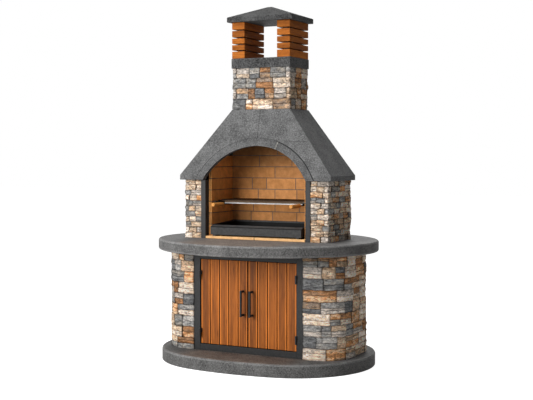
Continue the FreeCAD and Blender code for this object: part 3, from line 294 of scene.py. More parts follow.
def fill_shader(tree, shader, surface, roughness, gloss, height, relief):
    """Joins colour, roughness and relief to a shader, and sets on it what is the same all over."""
    tree.links.new(surface, shader.inputs["Base Color"])
    if isinstance(roughness, bpy.types.NodeSocket):
        tree.links.new(roughness, shader.inputs["Roughness"])
    else:
        shader.inputs["Roughness"].default_value = roughness
    shader.inputs["Specular IOR Level"].default_value = gloss
    bump = put(tree, "ShaderNodeBump", {"Height": height, "Strength": 1.0, "Distance": relief})
    tree.links.new(bump.outputs["Normal"], shader.inputs["Normal"])


# Cast stone: tones of its mottling, how much paler its flecks and its edges (wear and a painted highlight
# along the arris) are, and its surface
CAST_TONES = (0.41, 0.59)
CAST_PALER = 3.0
FLECK_STRENGTH = 0.5
WEAR_AND_HIGHLIGHT_PATCHES = (0.40, 0.58, 0.3, 1.0)
CAST_ROUGHNESS = (0.62, 0.82)
CAST_GLOSS = 0.1
CAST_RELIEF = 0.0020
# Warm tint painted on the grey stone as a reflection of the firebox's bricks and the doors, and the width
# over which it fades
WARM_REFLECTION_TINT = (1.36, 1.13, 0.98, 1.0)
REFLECTION_FADE = 0.14
# Joints of the arch and the hood: the mortar's gaps, how dark their lines are, and how far to the right the
# ring's line darkens
PALE_MORTAR = (0.50, 0.48, 0.44, 1.0)
MORTAR_PATCHES = (0.40, 0.55, 0.25, 0.9)
SEAM_SHADE = 0.2
SEAM_SIDE = (0.13, 0.18, 0.1, 0.9)
HAIR_SHADE = 0.3
HAIR_STRENGTH = 0.7


def joint_shade(tree, coordinates, joint):
    """Mortar in a joint that runs outwards from the arch's centre."""
    centre, angle, width = joint
    place = axes_of(tree, coordinates)
    turn = maths(tree, "ARCTAN2", place["X"], maths(tree, "SUBTRACT", place["Z"], centre))
    return falling(tree, distance(tree, turn, angle), width / 2, width)


def seam_shade(tree, coordinates, seam):
    """Dark line along the joint round the arch ring, darkest on its right piece."""
    centre, radius, width = seam
    place = axes_of(tree, coordinates)
    rise = maths(tree, "POWER", maths(tree, "SUBTRACT", place["Z"], centre), 2.0)
    reach = maths(tree, "SQRT", maths(tree, "ADD", rise, times(tree, place["X"], place["X"])))
    near = falling(tree, distance(tree, reach, radius), width / 2, width)
    return times(tree, near, spread(tree, place["X"], *SEAM_SIDE))


def painted_reflection(tree, coordinates, warm_reflection):
    """Painted warm reflection of the bricks and the doors on a slab's top, in front of the firebox and the
    doors.
    """
    level, half_width, front = warm_reflection
    place = axes_of(tree, coordinates)
    on_top = maths(tree, "GREATER_THAN", place["Z"], level)
    beside = falling(tree, maths(tree, "ABSOLUTE", place["X"]), half_width, half_width + REFLECTION_FADE)
    before = falling(tree, place["Y"], front, front + REFLECTION_FADE)
    return times(tree, on_top, times(tree, beside, before))


def cast_stone(name, colour, contrast=0.6, coarseness=1.0, edge_wear_and_highlight=0.25, warm_reflection=None, pale_joint=None,
               dark_seam=None, hair_joint=None):
    """Cast basalt stone: mottled grey with a sandy grain, pale flecks, and paler edges from wear and a
    painted highlight.

    It may have a painted warm reflection on its top, and mortar or darker lines in its joints.
    """
    material, tree, shader, coordinates = new_material(name)
    grain = place_group(tree, CAST_GRAIN, scaled(tree, coordinates, [1 / coarseness] * 3))
    mottle = grain["Mottle"]
    paler = shade_of(colour, CAST_PALER)
    tone = spread(tree, sum_of(tree, (mottle, 0.6), (grain["Grain"], 0.4)), *CAST_TONES)
    surface = toned(tree, tone, colour, (1 - contrast, 1 + contrast))
    surface = mixed(tree, times(tree, grain["Fleck"], FLECK_STRENGTH), surface, paler)
    # Paler rounded edges: wear, and a painted highlight along the arris
    wear_and_highlight = times(tree, attribute(tree, "wear_and_highlight", "Fac"), spread(tree, mottle, *WEAR_AND_HIGHLIGHT_PATCHES))
    surface = mixed(tree, times(tree, wear_and_highlight, edge_wear_and_highlight), surface, paler)
    # Painted reflection of the warm bricks and doors on the slab's top
    if warm_reflection:
        surface = mixed(tree, painted_reflection(tree, coordinates, warm_reflection), surface, tinted(tree, surface, WARM_REFLECTION_TINT))
    if pale_joint:
        mortar = joint_shade(tree, coordinates, pale_joint)
        mortar = times(tree, mortar, spread(tree, mottle, *MORTAR_PATCHES))
        surface = mixed(tree, mortar, surface, PALE_MORTAR)
    if dark_seam:
        surface = mixed(tree, seam_shade(tree, coordinates, dark_seam), surface, shade_of(colour, SEAM_SHADE))
    if hair_joint:
        dirt_and_shade = times(tree, within(tree, coordinates, *hair_joint), HAIR_STRENGTH)
        surface = mixed(tree, dirt_and_shade, surface, shade_of(colour, HAIR_SHADE))
    roughness = spread(tree, mottle, *NOISE_SPAN, *CAST_ROUGHNESS)
    fill_shader(tree, shader, surface, roughness, CAST_GLOSS, grain["Height"], CAST_RELIEF)
    return material


# Split stone: its bedding, the jumps of the grain from stone to stone, its patches, breaks, pits and creases,
# and the painted shade in its hollows and the painted highlight on its ridges
STONE_BEDDING = (1.0, 1.0, 2.7)
STONE_JUMPS = (31.0, 47.0, 59.0)
PATCH_RIM = (0.46, 0.57)
BREAK_TONES = (0.37, 0.63, 0.53, 1.88)
GRIT_TONES = (0.8, 1.2)
PIT_RIM = (0.32, 0.42)
PIT_DEPTH = 0.55
CREASE_WIDTH = 0.025
CREASE_DEPTH = 0.85
CREASED = (0.46, 0.58)
HOLLOW_SHADE_TINT = (0.15, 0.13, 0.12, 1.0)
RIDGE_HIGHLIGHT_TINT = (1.4, 1.4, 1.4, 1.0)
RIDGE_HIGHLIGHT_STRENGTH = 0.6
STONE_ROUGHNESS = 0.88
STONE_GLOSS = 0.15
STONE_RELIEF = 0.028


def split_stone(name):
    """Split-face walling stone with two colours to each stone, a rough broken grain, pits and creases,
    painted shade in its hollows and joints and a painted highlight on its ridges.
    """
    material, tree, shader, coordinates = new_material(name)
    bedded = own_grain(tree, coordinates, STONE_BEDDING, STONE_JUMPS)
    main = attribute(tree, "stone_colour", "Color")
    other = attribute(tree, "stone_patch", "Color")
    surface = mixed(tree, spread(tree, cloud(tree, bedded, STONE_PATCHES), *PATCH_RIM), main, other)
    breaks = cloud(tree, bedded, STONE_BREAKS)
    surface = tinted(tree, surface, spread(tree, breaks, *BREAK_TONES))
    grit = spread(tree, cloud(tree, coordinates, STONE_GRIT), *NOISE_SPAN, *GRIT_TONES)
    surface = tinted(tree, surface, grit)
    pits = falling(tree, cloud(tree, bedded, STONE_PITS), *PIT_RIM)
    crease = times(tree, creases(tree, bedded, STONE_CREASES, CREASE_WIDTH),
                   spread(tree, cloud(tree, bedded, CREASED_SPOTS), *CREASED))
    # Pits, creases, joints and hollows darkened as painted shade
    sunken = maths(tree, "MAXIMUM", times(tree, crease, CREASE_DEPTH), times(tree, pits, PIT_DEPTH))
    depth = maths(tree, "MAXIMUM", sunken, attribute(tree, "hollow_shade", "Fac"))
    surface = mixed(tree, depth, surface, tinted(tree, surface, HOLLOW_SHADE_TINT))
    # Painted highlight on the raised ridges of the relief
    ridge_highlight = times(tree, attribute(tree, "ridge_highlight", "Fac"), RIDGE_HIGHLIGHT_STRENGTH)
    surface = mixed(tree, ridge_highlight, surface, tinted(tree, surface, RIDGE_HIGHLIGHT_TINT))
    lumps = cloud(tree, coordinates, STONE_LUMPS)
    height = sum_of(tree, (breaks, 1.0), (sunken, -0.3), (grit, 0.1), (lumps, 0.5))
    fill_shader(tree, shader, surface, STONE_ROUGHNESS, STONE_GLOSS, height, STONE_RELIEF)
    return material


# Fired clay: tones from brick to brick, clouds and pits in each, soot, and mortar smeared on the edges
BRICK_TONES = (0.84, 1.14)
PALE_BRICK = (0.46, 0.25, 0.12, 1.0)
PALE_SHARE = 0.25
CLAY_TONES = (0.8, 1.16)
CLAY_PIT_RIM = (0.28, 0.4)
CLAY_PIT_STRENGTH = 0.45
CLAY_PIT_SHADE = 0.35
SOOT = (0.03, 0.018, 0.010, 1.0)
SOOT_MOST = 0.8
SOOT_PATCHES = (0.3, 0.6, 0.6, 1.0)
SMEAR_STRENGTH = 0.9
CLAY_ROUGHNESS = 0.9
CLAY_GLOSS = 0.05
CLAY_RELIEF = 0.0012


def firebrick(name, colour, joint, soot_levels=None):
    """Fired clay with each brick a little different, fine pits, and soot that thickens between two levels."""
    material, tree, shader, coordinates = new_material(name)
    surface = toned(tree, own_number(tree, "Red"), colour, BRICK_TONES)
    surface = mixed(tree, times(tree, own_number(tree, "Green"), PALE_SHARE), surface, PALE_BRICK)
    cloudy = spread(tree, cloud(tree, coordinates, CLAY_CLOUDS), *NOISE_SPAN, *CLAY_TONES)
    surface = tinted(tree, surface, cloudy)
    pits = falling(tree, cloud(tree, coordinates, CLAY_PITS), *CLAY_PIT_RIM)
    surface = mixed(tree, times(tree, pits, CLAY_PIT_STRENGTH), surface, shade_of(colour, CLAY_PIT_SHADE))
    if soot_levels:
        soot = spread(tree, axes_of(tree, coordinates)["Z"], *soot_levels, 0.0, SOOT_MOST)
        drifts = spread(tree, cloud(tree, coordinates, SOOT_DRIFTS), *SOOT_PATCHES)
        surface = mixed(tree, times(tree, soot, drifts), surface, SOOT)
    surface = mixed(tree, times(tree, attribute(tree, "joint", "Fac"), SMEAR_STRENGTH), surface, joint)
    height = sum_of(tree, (cloudy, 1.0), (pits, -0.4))
    fill_shader(tree, shader, surface, CLAY_ROUGHNESS, CLAY_GLOSS, height, CLAY_RELIEF)
    return material


# Oiled wood: jumps of the grain from board to board, tones, and the grooves between boards with a painted
# highlight on each lip.
# Grooves and lips are measured in shares of a board's width.
WOOD_JUMPS = (37.0, 53.0, 29.0)
FIGURE_RIM = (0.36, 0.64)
BOARD_TONES = (0.76, 1.2)
PORE_STRENGTH = 0.5
PORE_SHADE = 0.35
LIP_START = (0.05, 0.065)
LIP_END = (0.10, 0.15)
LIP_PATCHES = (0.40, 0.58, 0.35, 0.85)
LIP_HIGHLIGHT = 2.2
GROOVE_RIM = (0.03, 0.06)
GROOVE_STRENGTH = 0.9
GROOVE_SHADE = 0.3
WOOD_DULLING = 0.18
WOOD_RELIEF = 0.0008


def oiled_wood(name, light, dark, stretch, roughness=0.42, sheen=0.15):
    """Oiled hardwood with its grain drawn out along the axes that are stretched least."""
    material, tree, shader, coordinates = new_material(name)
    wood = place_group(tree, WOOD_FIGURE, own_grain(tree, coordinates, stretch, WOOD_JUMPS))
    figure = wood["Figure"]
    surface = mixed(tree, spread(tree, figure, *FIGURE_RIM), dark, light)
    surface = mixed(tree, times(tree, wood["Pores"], PORE_STRENGTH), surface, shade_of(dark, PORE_SHADE))
    surface = tinted(tree, surface, spread(tree, own_number(tree, "Red"), 0.0, 1.0, *BOARD_TONES))
    grooved = attribute(tree, "grooved", "Fac")
    across = attribute(tree, "across", "Fac")
    inset = maths(tree, "MINIMUM", across, maths(tree, "SUBTRACT", 1.0, across))
    # Painted highlight along each board's lip beside a groove
    lip = times(tree, spread(tree, inset, *LIP_START), falling(tree, inset, *LIP_END))
    lip = times(tree, lip, spread(tree, figure, *LIP_PATCHES))
    surface = mixed(tree, times(tree, lip, grooved), surface, shade_of(light, LIP_HIGHLIGHT))
    groove = times(tree, falling(tree, inset, *GROOVE_RIM, GROOVE_STRENGTH), grooved)
    surface = mixed(tree, groove, surface, shade_of(dark, GROOVE_SHADE))
    dulled = spread(tree, figure, *NOISE_SPAN, roughness, roughness + WOOD_DULLING)
    fill_shader(tree, shader, surface, dulled, sheen, wood["Height"], WOOD_RELIEF)
    return material


# Coated and bare steel: tones, and what handling marks do to the coat's colour and to the roughness
COAT_TONES = (0.75, 1.25)
COAT_MARK_TONES = (0.66, 1.34)
COAT_DULLING = (-0.08, 0.1)
COAT_DARKENED_SHADE = 0.1
COAT_RELIEF = 0.0003
STEEL_TONES = (0.8, 1.1)
STEEL_DULLING = (-0.06, 0.16)
STEEL_GLOSS = 0.5
STEEL_RELIEF = 0.0002
HEAT_STAIN = (0.05, 0.04, 0.035, 1.0)
BURNT = (0.045, 0.030, 0.020, 1.0)
BURNT_FADE = 0.002


def coated_steel(name, colour, roughness=0.5, sheen=0.2, darkened_boxes=()):
    """Powder-coated steel: fine orange peel and faint handling marks, darkened to near black inside some
    boxes.
    """
    material, tree, shader, coordinates = new_material(name)
    skin = place_group(tree, STEEL_SKIN, coordinates)
    surface = toned(tree, skin["Tone"], colour, COAT_TONES)
    surface = tinted(tree, surface, spread(tree, skin["Marks"], 0.0, 1.0, *COAT_MARK_TONES))
    # Darkened boxes: on the tray, its inside and a painted shadow along the fold of its front
    for box in darkened_boxes:
        surface = mixed(tree, within(tree, coordinates, *box), surface, shade_of(colour, COAT_DARKENED_SHADE))
    dulled = spread(tree, skin["Marks"], 0.0, 1.0, *[roughness + step for step in COAT_DULLING])
    fill_shader(tree, shader, surface, dulled, sheen, skin["Height"], COAT_RELIEF)
    return material


def bare_steel(name, colour, roughness, heat=0.0, burnt_above=None):
    """Bare steel or iron with a little heat staining, burnt brown above a level."""
    material, tree, shader, coordinates = new_material(name)
    skin = place_group(tree, STEEL_SKIN, coordinates)
    surface = toned(tree, skin["Tone"], colour, STEEL_TONES)
    surface = mixed(tree, times(tree, skin["Marks"], heat), surface, HEAT_STAIN)
    if burnt_above:
        level = axes_of(tree, coordinates)["Z"]
        surface = mixed(tree, spread(tree, level, burnt_above, burnt_above + BURNT_FADE), surface, BURNT)
    dulled = spread(tree, skin["Marks"], 0.0, 1.0, *[roughness + step for step in STEEL_DULLING])
    fill_shader(tree, shader, surface, dulled, STEEL_GLOSS, skin["Height"], STEEL_RELIEF)
    shader.inputs["Metallic"].default_value = 1.0
    return material


# Cement render and mortar: sweeps of the trowel, sand, and dark specks
TROWEL_STRETCH = (5.0, 5.0, 9.0)
RENDER_TONES = (0.72, 1.2)
SAND_TONES = (0.38, 0.62, 0.72, 1.2)
SPECK_STRENGTH = 0.4
SPECK_SHADE = 0.45
RENDER_ROUGHNESS = 0.92
RENDER_GLOSS = 0.2
RENDER_RELIEF = 0.0040


def rendered_masonry(name, colour):
    """Cement render on blockwork: trowel sweeps and a sandy grain."""
    material, tree, shader, coordinates = new_material(name)
    grain = place_group(tree, CAST_GRAIN, coordinates)
    sweeps = spread(tree, cloud(tree, scaled(tree, coordinates, TROWEL_STRETCH), TROWEL_SWEEPS), *NOISE_SPAN)
    surface = toned(tree, sweeps, colour, RENDER_TONES)
    surface = tinted(tree, surface, spread(tree, grain["Mottle"], *SAND_TONES))
    surface = mixed(tree, times(tree, grain["Fleck"], SPECK_STRENGTH), surface, shade_of(colour, SPECK_SHADE))
    height = sum_of(tree, (grain["Height"], 0.4), (sweeps, 0.6))
    fill_shader(tree, shader, surface, RENDER_ROUGHNESS, RENDER_GLOSS, height, RENDER_RELIEF)
    return material


# Colours
SLAB_GREY = (0.107, 0.105, 0.103, 1.0)
PLINTH_GREY = (0.096, 0.095, 0.093, 1.0)
HOOD_GREY = (0.103, 0.103, 0.103, 1.0)
CAP_GREY = (0.044, 0.044, 0.044, 1.0)
COLLAR_GREY = (0.056, 0.056, 0.056, 1.0)
RING_GREY = (0.088, 0.088, 0.088, 1.0)
CLAY = (0.49, 0.215, 0.071, 1.0)
# Lighter copy of the lining's clay for the side walls, as painted light where little of the lamps reaches
# them
SIDE_CLAY_PAINTED_LIGHTER = (0.80, 0.36, 0.110, 1.0)
PALE_CLAY = (0.80, 0.475, 0.215, 1.0)
TEAK_LIGHT = (0.43, 0.125, 0.017, 1.0)
TEAK_DARK = (0.135, 0.036, 0.0055, 1.0)
SLAT_LIGHT = (0.47, 0.150, 0.024, 1.0)
SLAT_DARK = (0.165, 0.044, 0.007, 1.0)
GRIP_LIGHT = (0.93, 0.45, 0.12, 1.0)
GRIP_DARK = (0.62, 0.24, 0.05, 1.0)
BLACK_COAT = (0.020, 0.020, 0.0202, 1.0)
GREY_COAT = (0.026, 0.0265, 0.027, 1.0)
TRAY_COAT = (0.052, 0.052, 0.052, 1.0)
STEEL = (0.55, 0.55, 0.55, 1.0)
GRILL_EDGE = (0.22, 0.22, 0.22, 1.0)
IRON = (0.05, 0.048, 0.046, 1.0)
# Iron paler than the burnt iron, as a painted highlight on the grate's bars
GRATE_IRON_WITH_HIGHLIGHT = (0.16, 0.155, 0.15, 1.0)
RENDER_GREY = (0.36, 0.35, 0.33, 1.0)
MORTAR_GREY = (0.10, 0.09, 0.08, 1.0)
JOINT_GREY = (0.13, 0.112, 0.095, 1.0)
HEARTH_JOINT = (0.020, 0.014, 0.009, 1.0)

# Charcoal tray: its inside, darkened up to a band under the rim that keeps the coat's colour,
# and the painted shadow along the fold at the top of its front
TRAY_INSIDE = ((-0.3652, -0.1625, 0.9200), (0.3652, 0.1575, 1.0060))
TRAY_FOLD_SHADOW = ((-0.3690, -0.2010, 0.9825), (0.3690, -0.1950, 0.9885))
# Level where the grill's edge strip meets its bars
STRIP_TOP = 1.1600
# Level of the arch's centre
ARCH_CENTRE = 1.1049
# Arch ring's right joint: level of the centre, angle from the crown, and half the spread of its pale mortar
RING_JOINT = (ARCH_CENTRE, math.radians(18.7), 0.011)
# Joint round the ring: level of the centre, radius, and half the spread of its dark line
RING_SEAM = (ARCH_CENTRE, 0.529, 0.0055)
# Short level joint in the hood's right front casting
HOOD_HAIR_JOINT = ((0.24, -0.5, 1.6045), (0.40, 0.2, 1.6085))
# Part of each slab's top with a painted warm reflection: its level just under the face, half its width, and
# where it starts to fade
REFLECTION_LEVEL_DROP = 0.001
WORKTOP_REFLECTION = (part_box("worktop_slab")[1].z - REFLECTION_LEVEL_DROP, 0.30, -0.25)
PLINTH_REFLECTION = (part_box("plinth_slab")[1].z - REFLECTION_LEVEL_DROP, 0.36, -0.25)
# Paleness of the slabs' edges: wear, and a painted highlight along the arris
SLAB_WEAR_AND_HIGHLIGHT = 0.40
# Levels between which soot thickens on the lining
LINING_SOOT = (1.40, 1.60)

# Stretch of the wood's grain: upright in the doors, round the chimney in the slats, lengthwise in the grips
ALONG_Z = (26.0, 26.0, 1.3)
ALONG_WALLS = (2.6, 2.6, 34.0)
ALONG_Y = (60.0, 5.0, 60.0)

slab_stone = cast_stone("slab_stone", SLAB_GREY, edge_wear_and_highlight=SLAB_WEAR_AND_HIGHLIGHT, warm_reflection=WORKTOP_REFLECTION)
hood_stone = cast_stone("hood_stone", HOOD_GREY)
hood_face_stone = cast_stone("hood_face_stone", HOOD_GREY, edge_wear_and_highlight=0.0, dark_seam=RING_SEAM,
                             hair_joint=HOOD_HAIR_JOINT)
plinth_stone = cast_stone("plinth_stone", PLINTH_GREY, edge_wear_and_highlight=SLAB_WEAR_AND_HIGHLIGHT, warm_reflection=PLINTH_REFLECTION)
cap_stone = cast_stone("cap_stone", CAP_GREY, contrast=0.85, coarseness=1.4, edge_wear_and_highlight=0.1)
collar_stone = cast_stone("collar_stone", COLLAR_GREY, contrast=0.85, coarseness=1.5)
ring_stone = cast_stone("ring_stone", RING_GREY, pale_joint=RING_JOINT, dark_seam=RING_SEAM)
walling = split_stone("walling")
lining_clay = firebrick("lining_clay", CLAY, JOINT_GREY, LINING_SOOT)
# The side linings' clay is painted lighter than the back's, as painted light
side_clay_painted_lighter = firebrick("side_clay_painted_lighter", SIDE_CLAY_PAINTED_LIGHTER, JOINT_GREY, LINING_SOOT)
hearth_clay = firebrick("hearth_clay", PALE_CLAY, HEARTH_JOINT)
door_teak = oiled_wood("door_teak", TEAK_LIGHT, TEAK_DARK, ALONG_Z)
slat_timber = oiled_wood("slat_timber", SLAT_LIGHT, SLAT_DARK, ALONG_WALLS, roughness=0.6, sheen=0.06)
grip_wood = oiled_wood("grip_wood", GRIP_LIGHT, GRIP_DARK, ALONG_Y)
black_coat = coated_steel("black_coat", BLACK_COAT)
grey_coat = coated_steel("grey_coat", GREY_COAT)
tray_coat = coated_steel("tray_coat", TRAY_COAT, roughness=0.45, sheen=0.06, darkened_boxes=(TRAY_INSIDE, TRAY_FOLD_SHADOW))
bright_steel = bare_steel("bright_steel", STEEL, roughness=0.36)
grill_edge = bare_steel("grill_edge", GRILL_EDGE, roughness=0.42, heat=0.3, burnt_above=STRIP_TOP)
grill_steel = bare_steel("grill_steel", BURNT, roughness=0.5, heat=0.5)
burnt_iron = bare_steel("burnt_iron", IRON, roughness=0.62, heat=0.4)
grate_iron = bare_steel("grate_iron", GRATE_IRON_WITH_HIGHLIGHT, roughness=0.55, heat=0.3)
render_coat = rendered_masonry("render_coat", RENDER_GREY)
dark_mortar = rendered_masonry("dark_mortar", MORTAR_GREY)
brick_mortar = rendered_masonry("brick_mortar", JOINT_GREY)


# Mesh helpers

MERGE = 1e-5
# Degrees that an edge turns by: still flat, rounded off, and kept sharp in the shading
FLAT_TURN = 0.5
EASED_TURN = 30
SHARP_TURN = 40


def node_copy(node):
    """Copy of a CAD node with its loose triangles merged into whole faces."""
    bm = bmesh.new()
    bm.from_mesh(frame["nodes"][node].data)
    bmesh.ops.remove_doubles(bm, verts=bm.verts, dist=MERGE)
    bmesh.ops.dissolve_limit(bm, angle_limit=math.radians(FLAT_TURN), verts=bm.verts, edges=bm.edges)
    return bm


def ease_edges(bm, width, segments=2, turn=EASED_TURN):
    """Rounds every edge that turns by more than an angle, and marks the rounding for paler wear and a painted
    highlight.
    """
    wear_and_highlight = bm.faces.layers.float.new("wear_and_highlight")
    limit = math.radians(turn)
    edges = [edge for edge in bm.edges if edge.is_manifold and edge.calc_face_angle(0) > limit]
    rounded = bmesh.ops.bevel(bm, geom=edges, offset=width, offset_type="OFFSET", affect="EDGES",
                              segments=segments, profile=0.5, material=-1, clamp_overlap=True)
    for face in rounded["faces"]:
        face[wear_and_highlight] = 1.0


def corners(verts):
    """Lowest and highest corner of some vertices."""
    places = [vert.co for vert in verts]
    low = Vector([min(place[axis] for place in places) for axis in range(3)])
    high = Vector([max(place[axis] for place in places) for axis in range(3)])
    return low, high


def loose_parts(bm):
    """Vertices of each separate solid, ordered by height, then across, then along."""
    parts = []
    seen = set()
    for start in bm.verts:
        if start in seen:
            continue
        seen.add(start)
        part = [start]
        for vert in part:
            for edge in vert.link_edges:
                other = edge.other_vert(vert)
                if other not in seen:
                    seen.add(other)
                    part.append(other)
        parts.append(part)

    def order(part):
        low, high = corners(part)
        middle = (low + high) / 2
        return round(middle.z, 3), round(middle.x, 3), round(middle.y, 3)
    return sorted(parts, key=order)


def own_tones(bm, seed):
    """Three random numbers for each loose solid, for its tone and its place in the grain."""
    layer = bm.verts.layers.float_color.new("piece_random")
    draw = random.Random(seed)
    for part in loose_parts(bm):
        numbers = (draw.random(), draw.random(), draw.random(), 1.0)
        for vert in part:
            vert[layer] = numbers


def dress_mesh(mesh, material, nodes, sharp=SHARP_TURN):
    """Piece for a finished mesh, which stands for CAD nodes and moves with their body."""
    mesh.materials.append(material)
    mesh.polygons.foreach_set("use_smooth", [True] * len(mesh.polygons))
    mesh.set_sharp_from_angle(angle=math.radians(sharp))
    piece = bpy.data.objects.new(mesh.name, mesh)
    bpy.context.scene.collection.objects.link(piece)
    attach(piece, BODY_OF[nodes[0]])
    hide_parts(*nodes)
    return piece


def dress(name, bm, material, nodes):
    """Piece with flat faces kept flat beside its rounded edges."""
    mesh = bpy.data.meshes.new(name)
    bm.to_mesh(mesh)
    bm.free()
    piece = dress_mesh(mesh, material, nodes)
    piece.modifiers.new("flat_faces", "WEIGHTED_NORMAL").keep_sharp = True
    return piece


def eased_piece(node, width, material, segments=2, turn=EASED_TURN, seed=None):
    """CAD node with rounded edges and a finish."""
    bm = node_copy(node)
    if seed is not None:
        own_tones(bm, seed)
    ease_edges(bm, width, segments, turn)
    return dress(f"{node}_finished", bm, material, [node])


# Split-face walling stones

# Without a seed, the drift of the joints and the tilt of the facets would change from run to run
NOISE_SEED = 7
noise.seed_set(NOISE_SEED)

# Spacing of the cuts through a stone, its first rounding, and the depth to which its face is worked
STONE_GRID = 0.008
STONE_EASE = 0.0016
STONE_REACH = 0.013
WALL_REACH = 2 * STONE_REACH
STONE_SHARP_TURN = 38
CUT_MERGE = 1e-6

# Joints: how far stones spread into them, and how far, in what waves and how near a wall's ends they wander
STONE_SPREAD = 0.0014
JOINT_WANDER = 0.0045
WANDER_WAVES = (21.0, 52.0)
FINE_WANDER = 0.5
WANDER_FADE = 0.012

# Worn outlines: width at edges and corners, at most a share of the height, with chips, and their depth
EDGE_WEAR = 0.010
CORNER_WEAR = 0.016
THIN_WEAR = 0.14
CORNER_BREAK = 2.2
CHIP_WAVES = (55, 55)
CHIP_PLACE = 2.3
CHIP_SHARE = 0.8
WEAR_DEPTH = 0.0045

# Stones in two layers: least height, where the seam may lie, half its width, its chips, waves and painted
# shade
LAYERED_HEIGHT = 0.034
SEAM_SHARES = (0.36, 0.64)
SEAM_HALF = 0.0028
SEAM_CHIPS = 0.6
SEAM_WANDER = 0.006
SEAM_WAVES = 28
SEAM_PAINTED_SHADE = 0.4
UPPER_SHIFT = 50

# Broken faces: waves per metre along and up the wall of ledges, facets and lumps, how far each stands out,
# and their places in the noise as multiples of a stone's own
STRATA_WAVES = (11, 46)
STRATA_RISE = 0.0045
STRATA_FRACTAL = (0.8, 2.1, 3)
FACET_WAVES = (24, 40)
FACET_RISE = 0.0050
FACET_PLACE = 3.1
FACET_STEP = 0.6
TILT_WAVES = 5.3
LUMP_WAVES = (55, 62)
LUMP_RISE = 0.0034
LUMP_PLACE = 1.7

# What is drawn for each stone: its place in the noises, how far its layers stand out, its ledges and its tone
NOISE_PLACES = (0, 100)
LOWER_STAND = (-0.0025, 0.0025)
UPPER_STAND = (-0.0045, 0.0015)
LEDGE_SHARES = (0.6, 1.5)
STONE_TONES = (0.84, 1.16)

# Shading of the relief: where hollows and ridges start, how fast they grow, and when a face lies in a joint
HOLLOW_START = 0.004
HOLLOW_GAIN = 40
RIDGE_START = 0.0015
RIDGE_GAIN = 120
IN_JOINT = 0.05

# How each wall is laid: share of stones in two layers, painted shade in the joints, and tone
FLANK_WORK = {"layered": 0.55, "dirt_and_shade": 0.5, "tone": 1.06}
PILLAR_WORK = {"layered": 0.30, "dirt_and_shade": 0.72, "tone": 1.08}
CHIMNEY_WORK = {"layered": 0.88, "dirt_and_shade": 0.6, "tone": 1.02}
FLANK_SEEDS = {"left": 10, "right": 12}
PILLAR_SEEDS = {"left": 20, "right": 22}
CHIMNEY_SEED = 31

# Plan of the cupboard's ends: outermost faces, corner rounding and the edge of the door frame
END_HALF_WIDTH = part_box("right_base_stones")[1].x
END_HALF_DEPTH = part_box("right_base_stones")[1].y
END_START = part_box("right_base_stones")[0].x
END_CORNER = 0.215

# Stone kinds with their main colour and the colour of their patches:
# cream, sand, tan, orange, rust, brown, light grey, grey and dark grey
STONE_KINDS = {
    "c": ((0.96, 0.82, 0.69), (0.90, 0.70, 0.52)),
    "s": ((0.70, 0.62, 0.55), (0.56, 0.48, 0.41)),
    "t": ((0.70, 0.48, 0.31), (0.86, 0.67, 0.49)),
    "o": ((0.70, 0.345, 0.15), (0.88, 0.60, 0.38)),
    "r": ((0.52, 0.255, 0.115), (0.38, 0.225, 0.13)),
    "b": ((0.34, 0.255, 0.195), (0.50, 0.32, 0.19)),
    "l": ((0.50, 0.47, 0.435), (0.34, 0.33, 0.32)),
    "g": ((0.31, 0.305, 0.295), (0.44, 0.40, 0.35)),
    "d": ((0.185, 0.187, 0.190), (0.28, 0.278, 0.272)),
}

# Kinds that may lie on top in a stone of two layers
LAYERED_WITH = {
    "c": "cccts", "s": "ssslg", "t": "tttcr", "o": "ooocr", "r": "rrrbt", "b": "bbbrg", "l": "lllsg",
    "g": "gggdl", "d": "dddgb"}

# Kinds along each course of a flank, from the ground up and from the door frame backwards.
# Two letters together are a thin stone under another.
FLANK_KINDS = {
    "left": [
        "gr gt r b c d s", "or c g t d s r", "l g t c sg t b g", "cl o c g d c b", "d rs g d c g t",
        "c r sr t d g c", "o dg d r c b s", "t l d cs d s g", "gt o c s b d t"],
    "right": [
        "c o st t c b", "d ll t ot c o t", "s gg st l so r t c", "c go cr o c b t", "d sl d t c o r",
        "o c tr c b o", "d gg lr t c o t", "c t rd c o b c", "gb gb r to c r c t"],
}
# Kinds along the pillars' fronts, and along their outer sides from front to back, from the worktop up
PILLAR_FRONT_KINDS = {
    "left": ["c t", "t s", "s t", "c g", "l t", "t c", "g s", "c o", "l s", "t c", "c t"],
    "right": ["o s", "c t", "t g", "t o", "s c", "c t", "c s", "s l", "o c", "c t", "t s"],
}
PILLAR_SIDE_KINDS = [
    "t o s b c", "c s c t o", "s t l t c", "c b t t c", "t o s o c", "l c t c t", "c g c c c", "c o l o c",
    "s l t c c", "c g o c s", "s t s o t"]
# Kinds along the chimney's front from left to right, and along its right side from front to back,
# from the hood up
CHIMNEY_FRONT_KINDS = ["d o c b", "lb r d b s", "gb g r cc", "c d br g"]
CHIMNEY_SIDE_KINDS = ["s t o c", "t o c t", "c o s o", "s o c t"]
MIXED_KINDS = "cctttsssrrbbgggddll"


class WallFace:
    """Flat outer face of a clad wall."""

    def __init__(self, outwards, offset):
        self.outwards = outwards
        self.offset = offset
        self.axis = 0 if outwards.y else 1

    def read(self, place):
        """Run along the wall, direction outwards and depth below the face."""
        return place[self.axis], self.outwards, self.offset - self.outwards.dot(place)


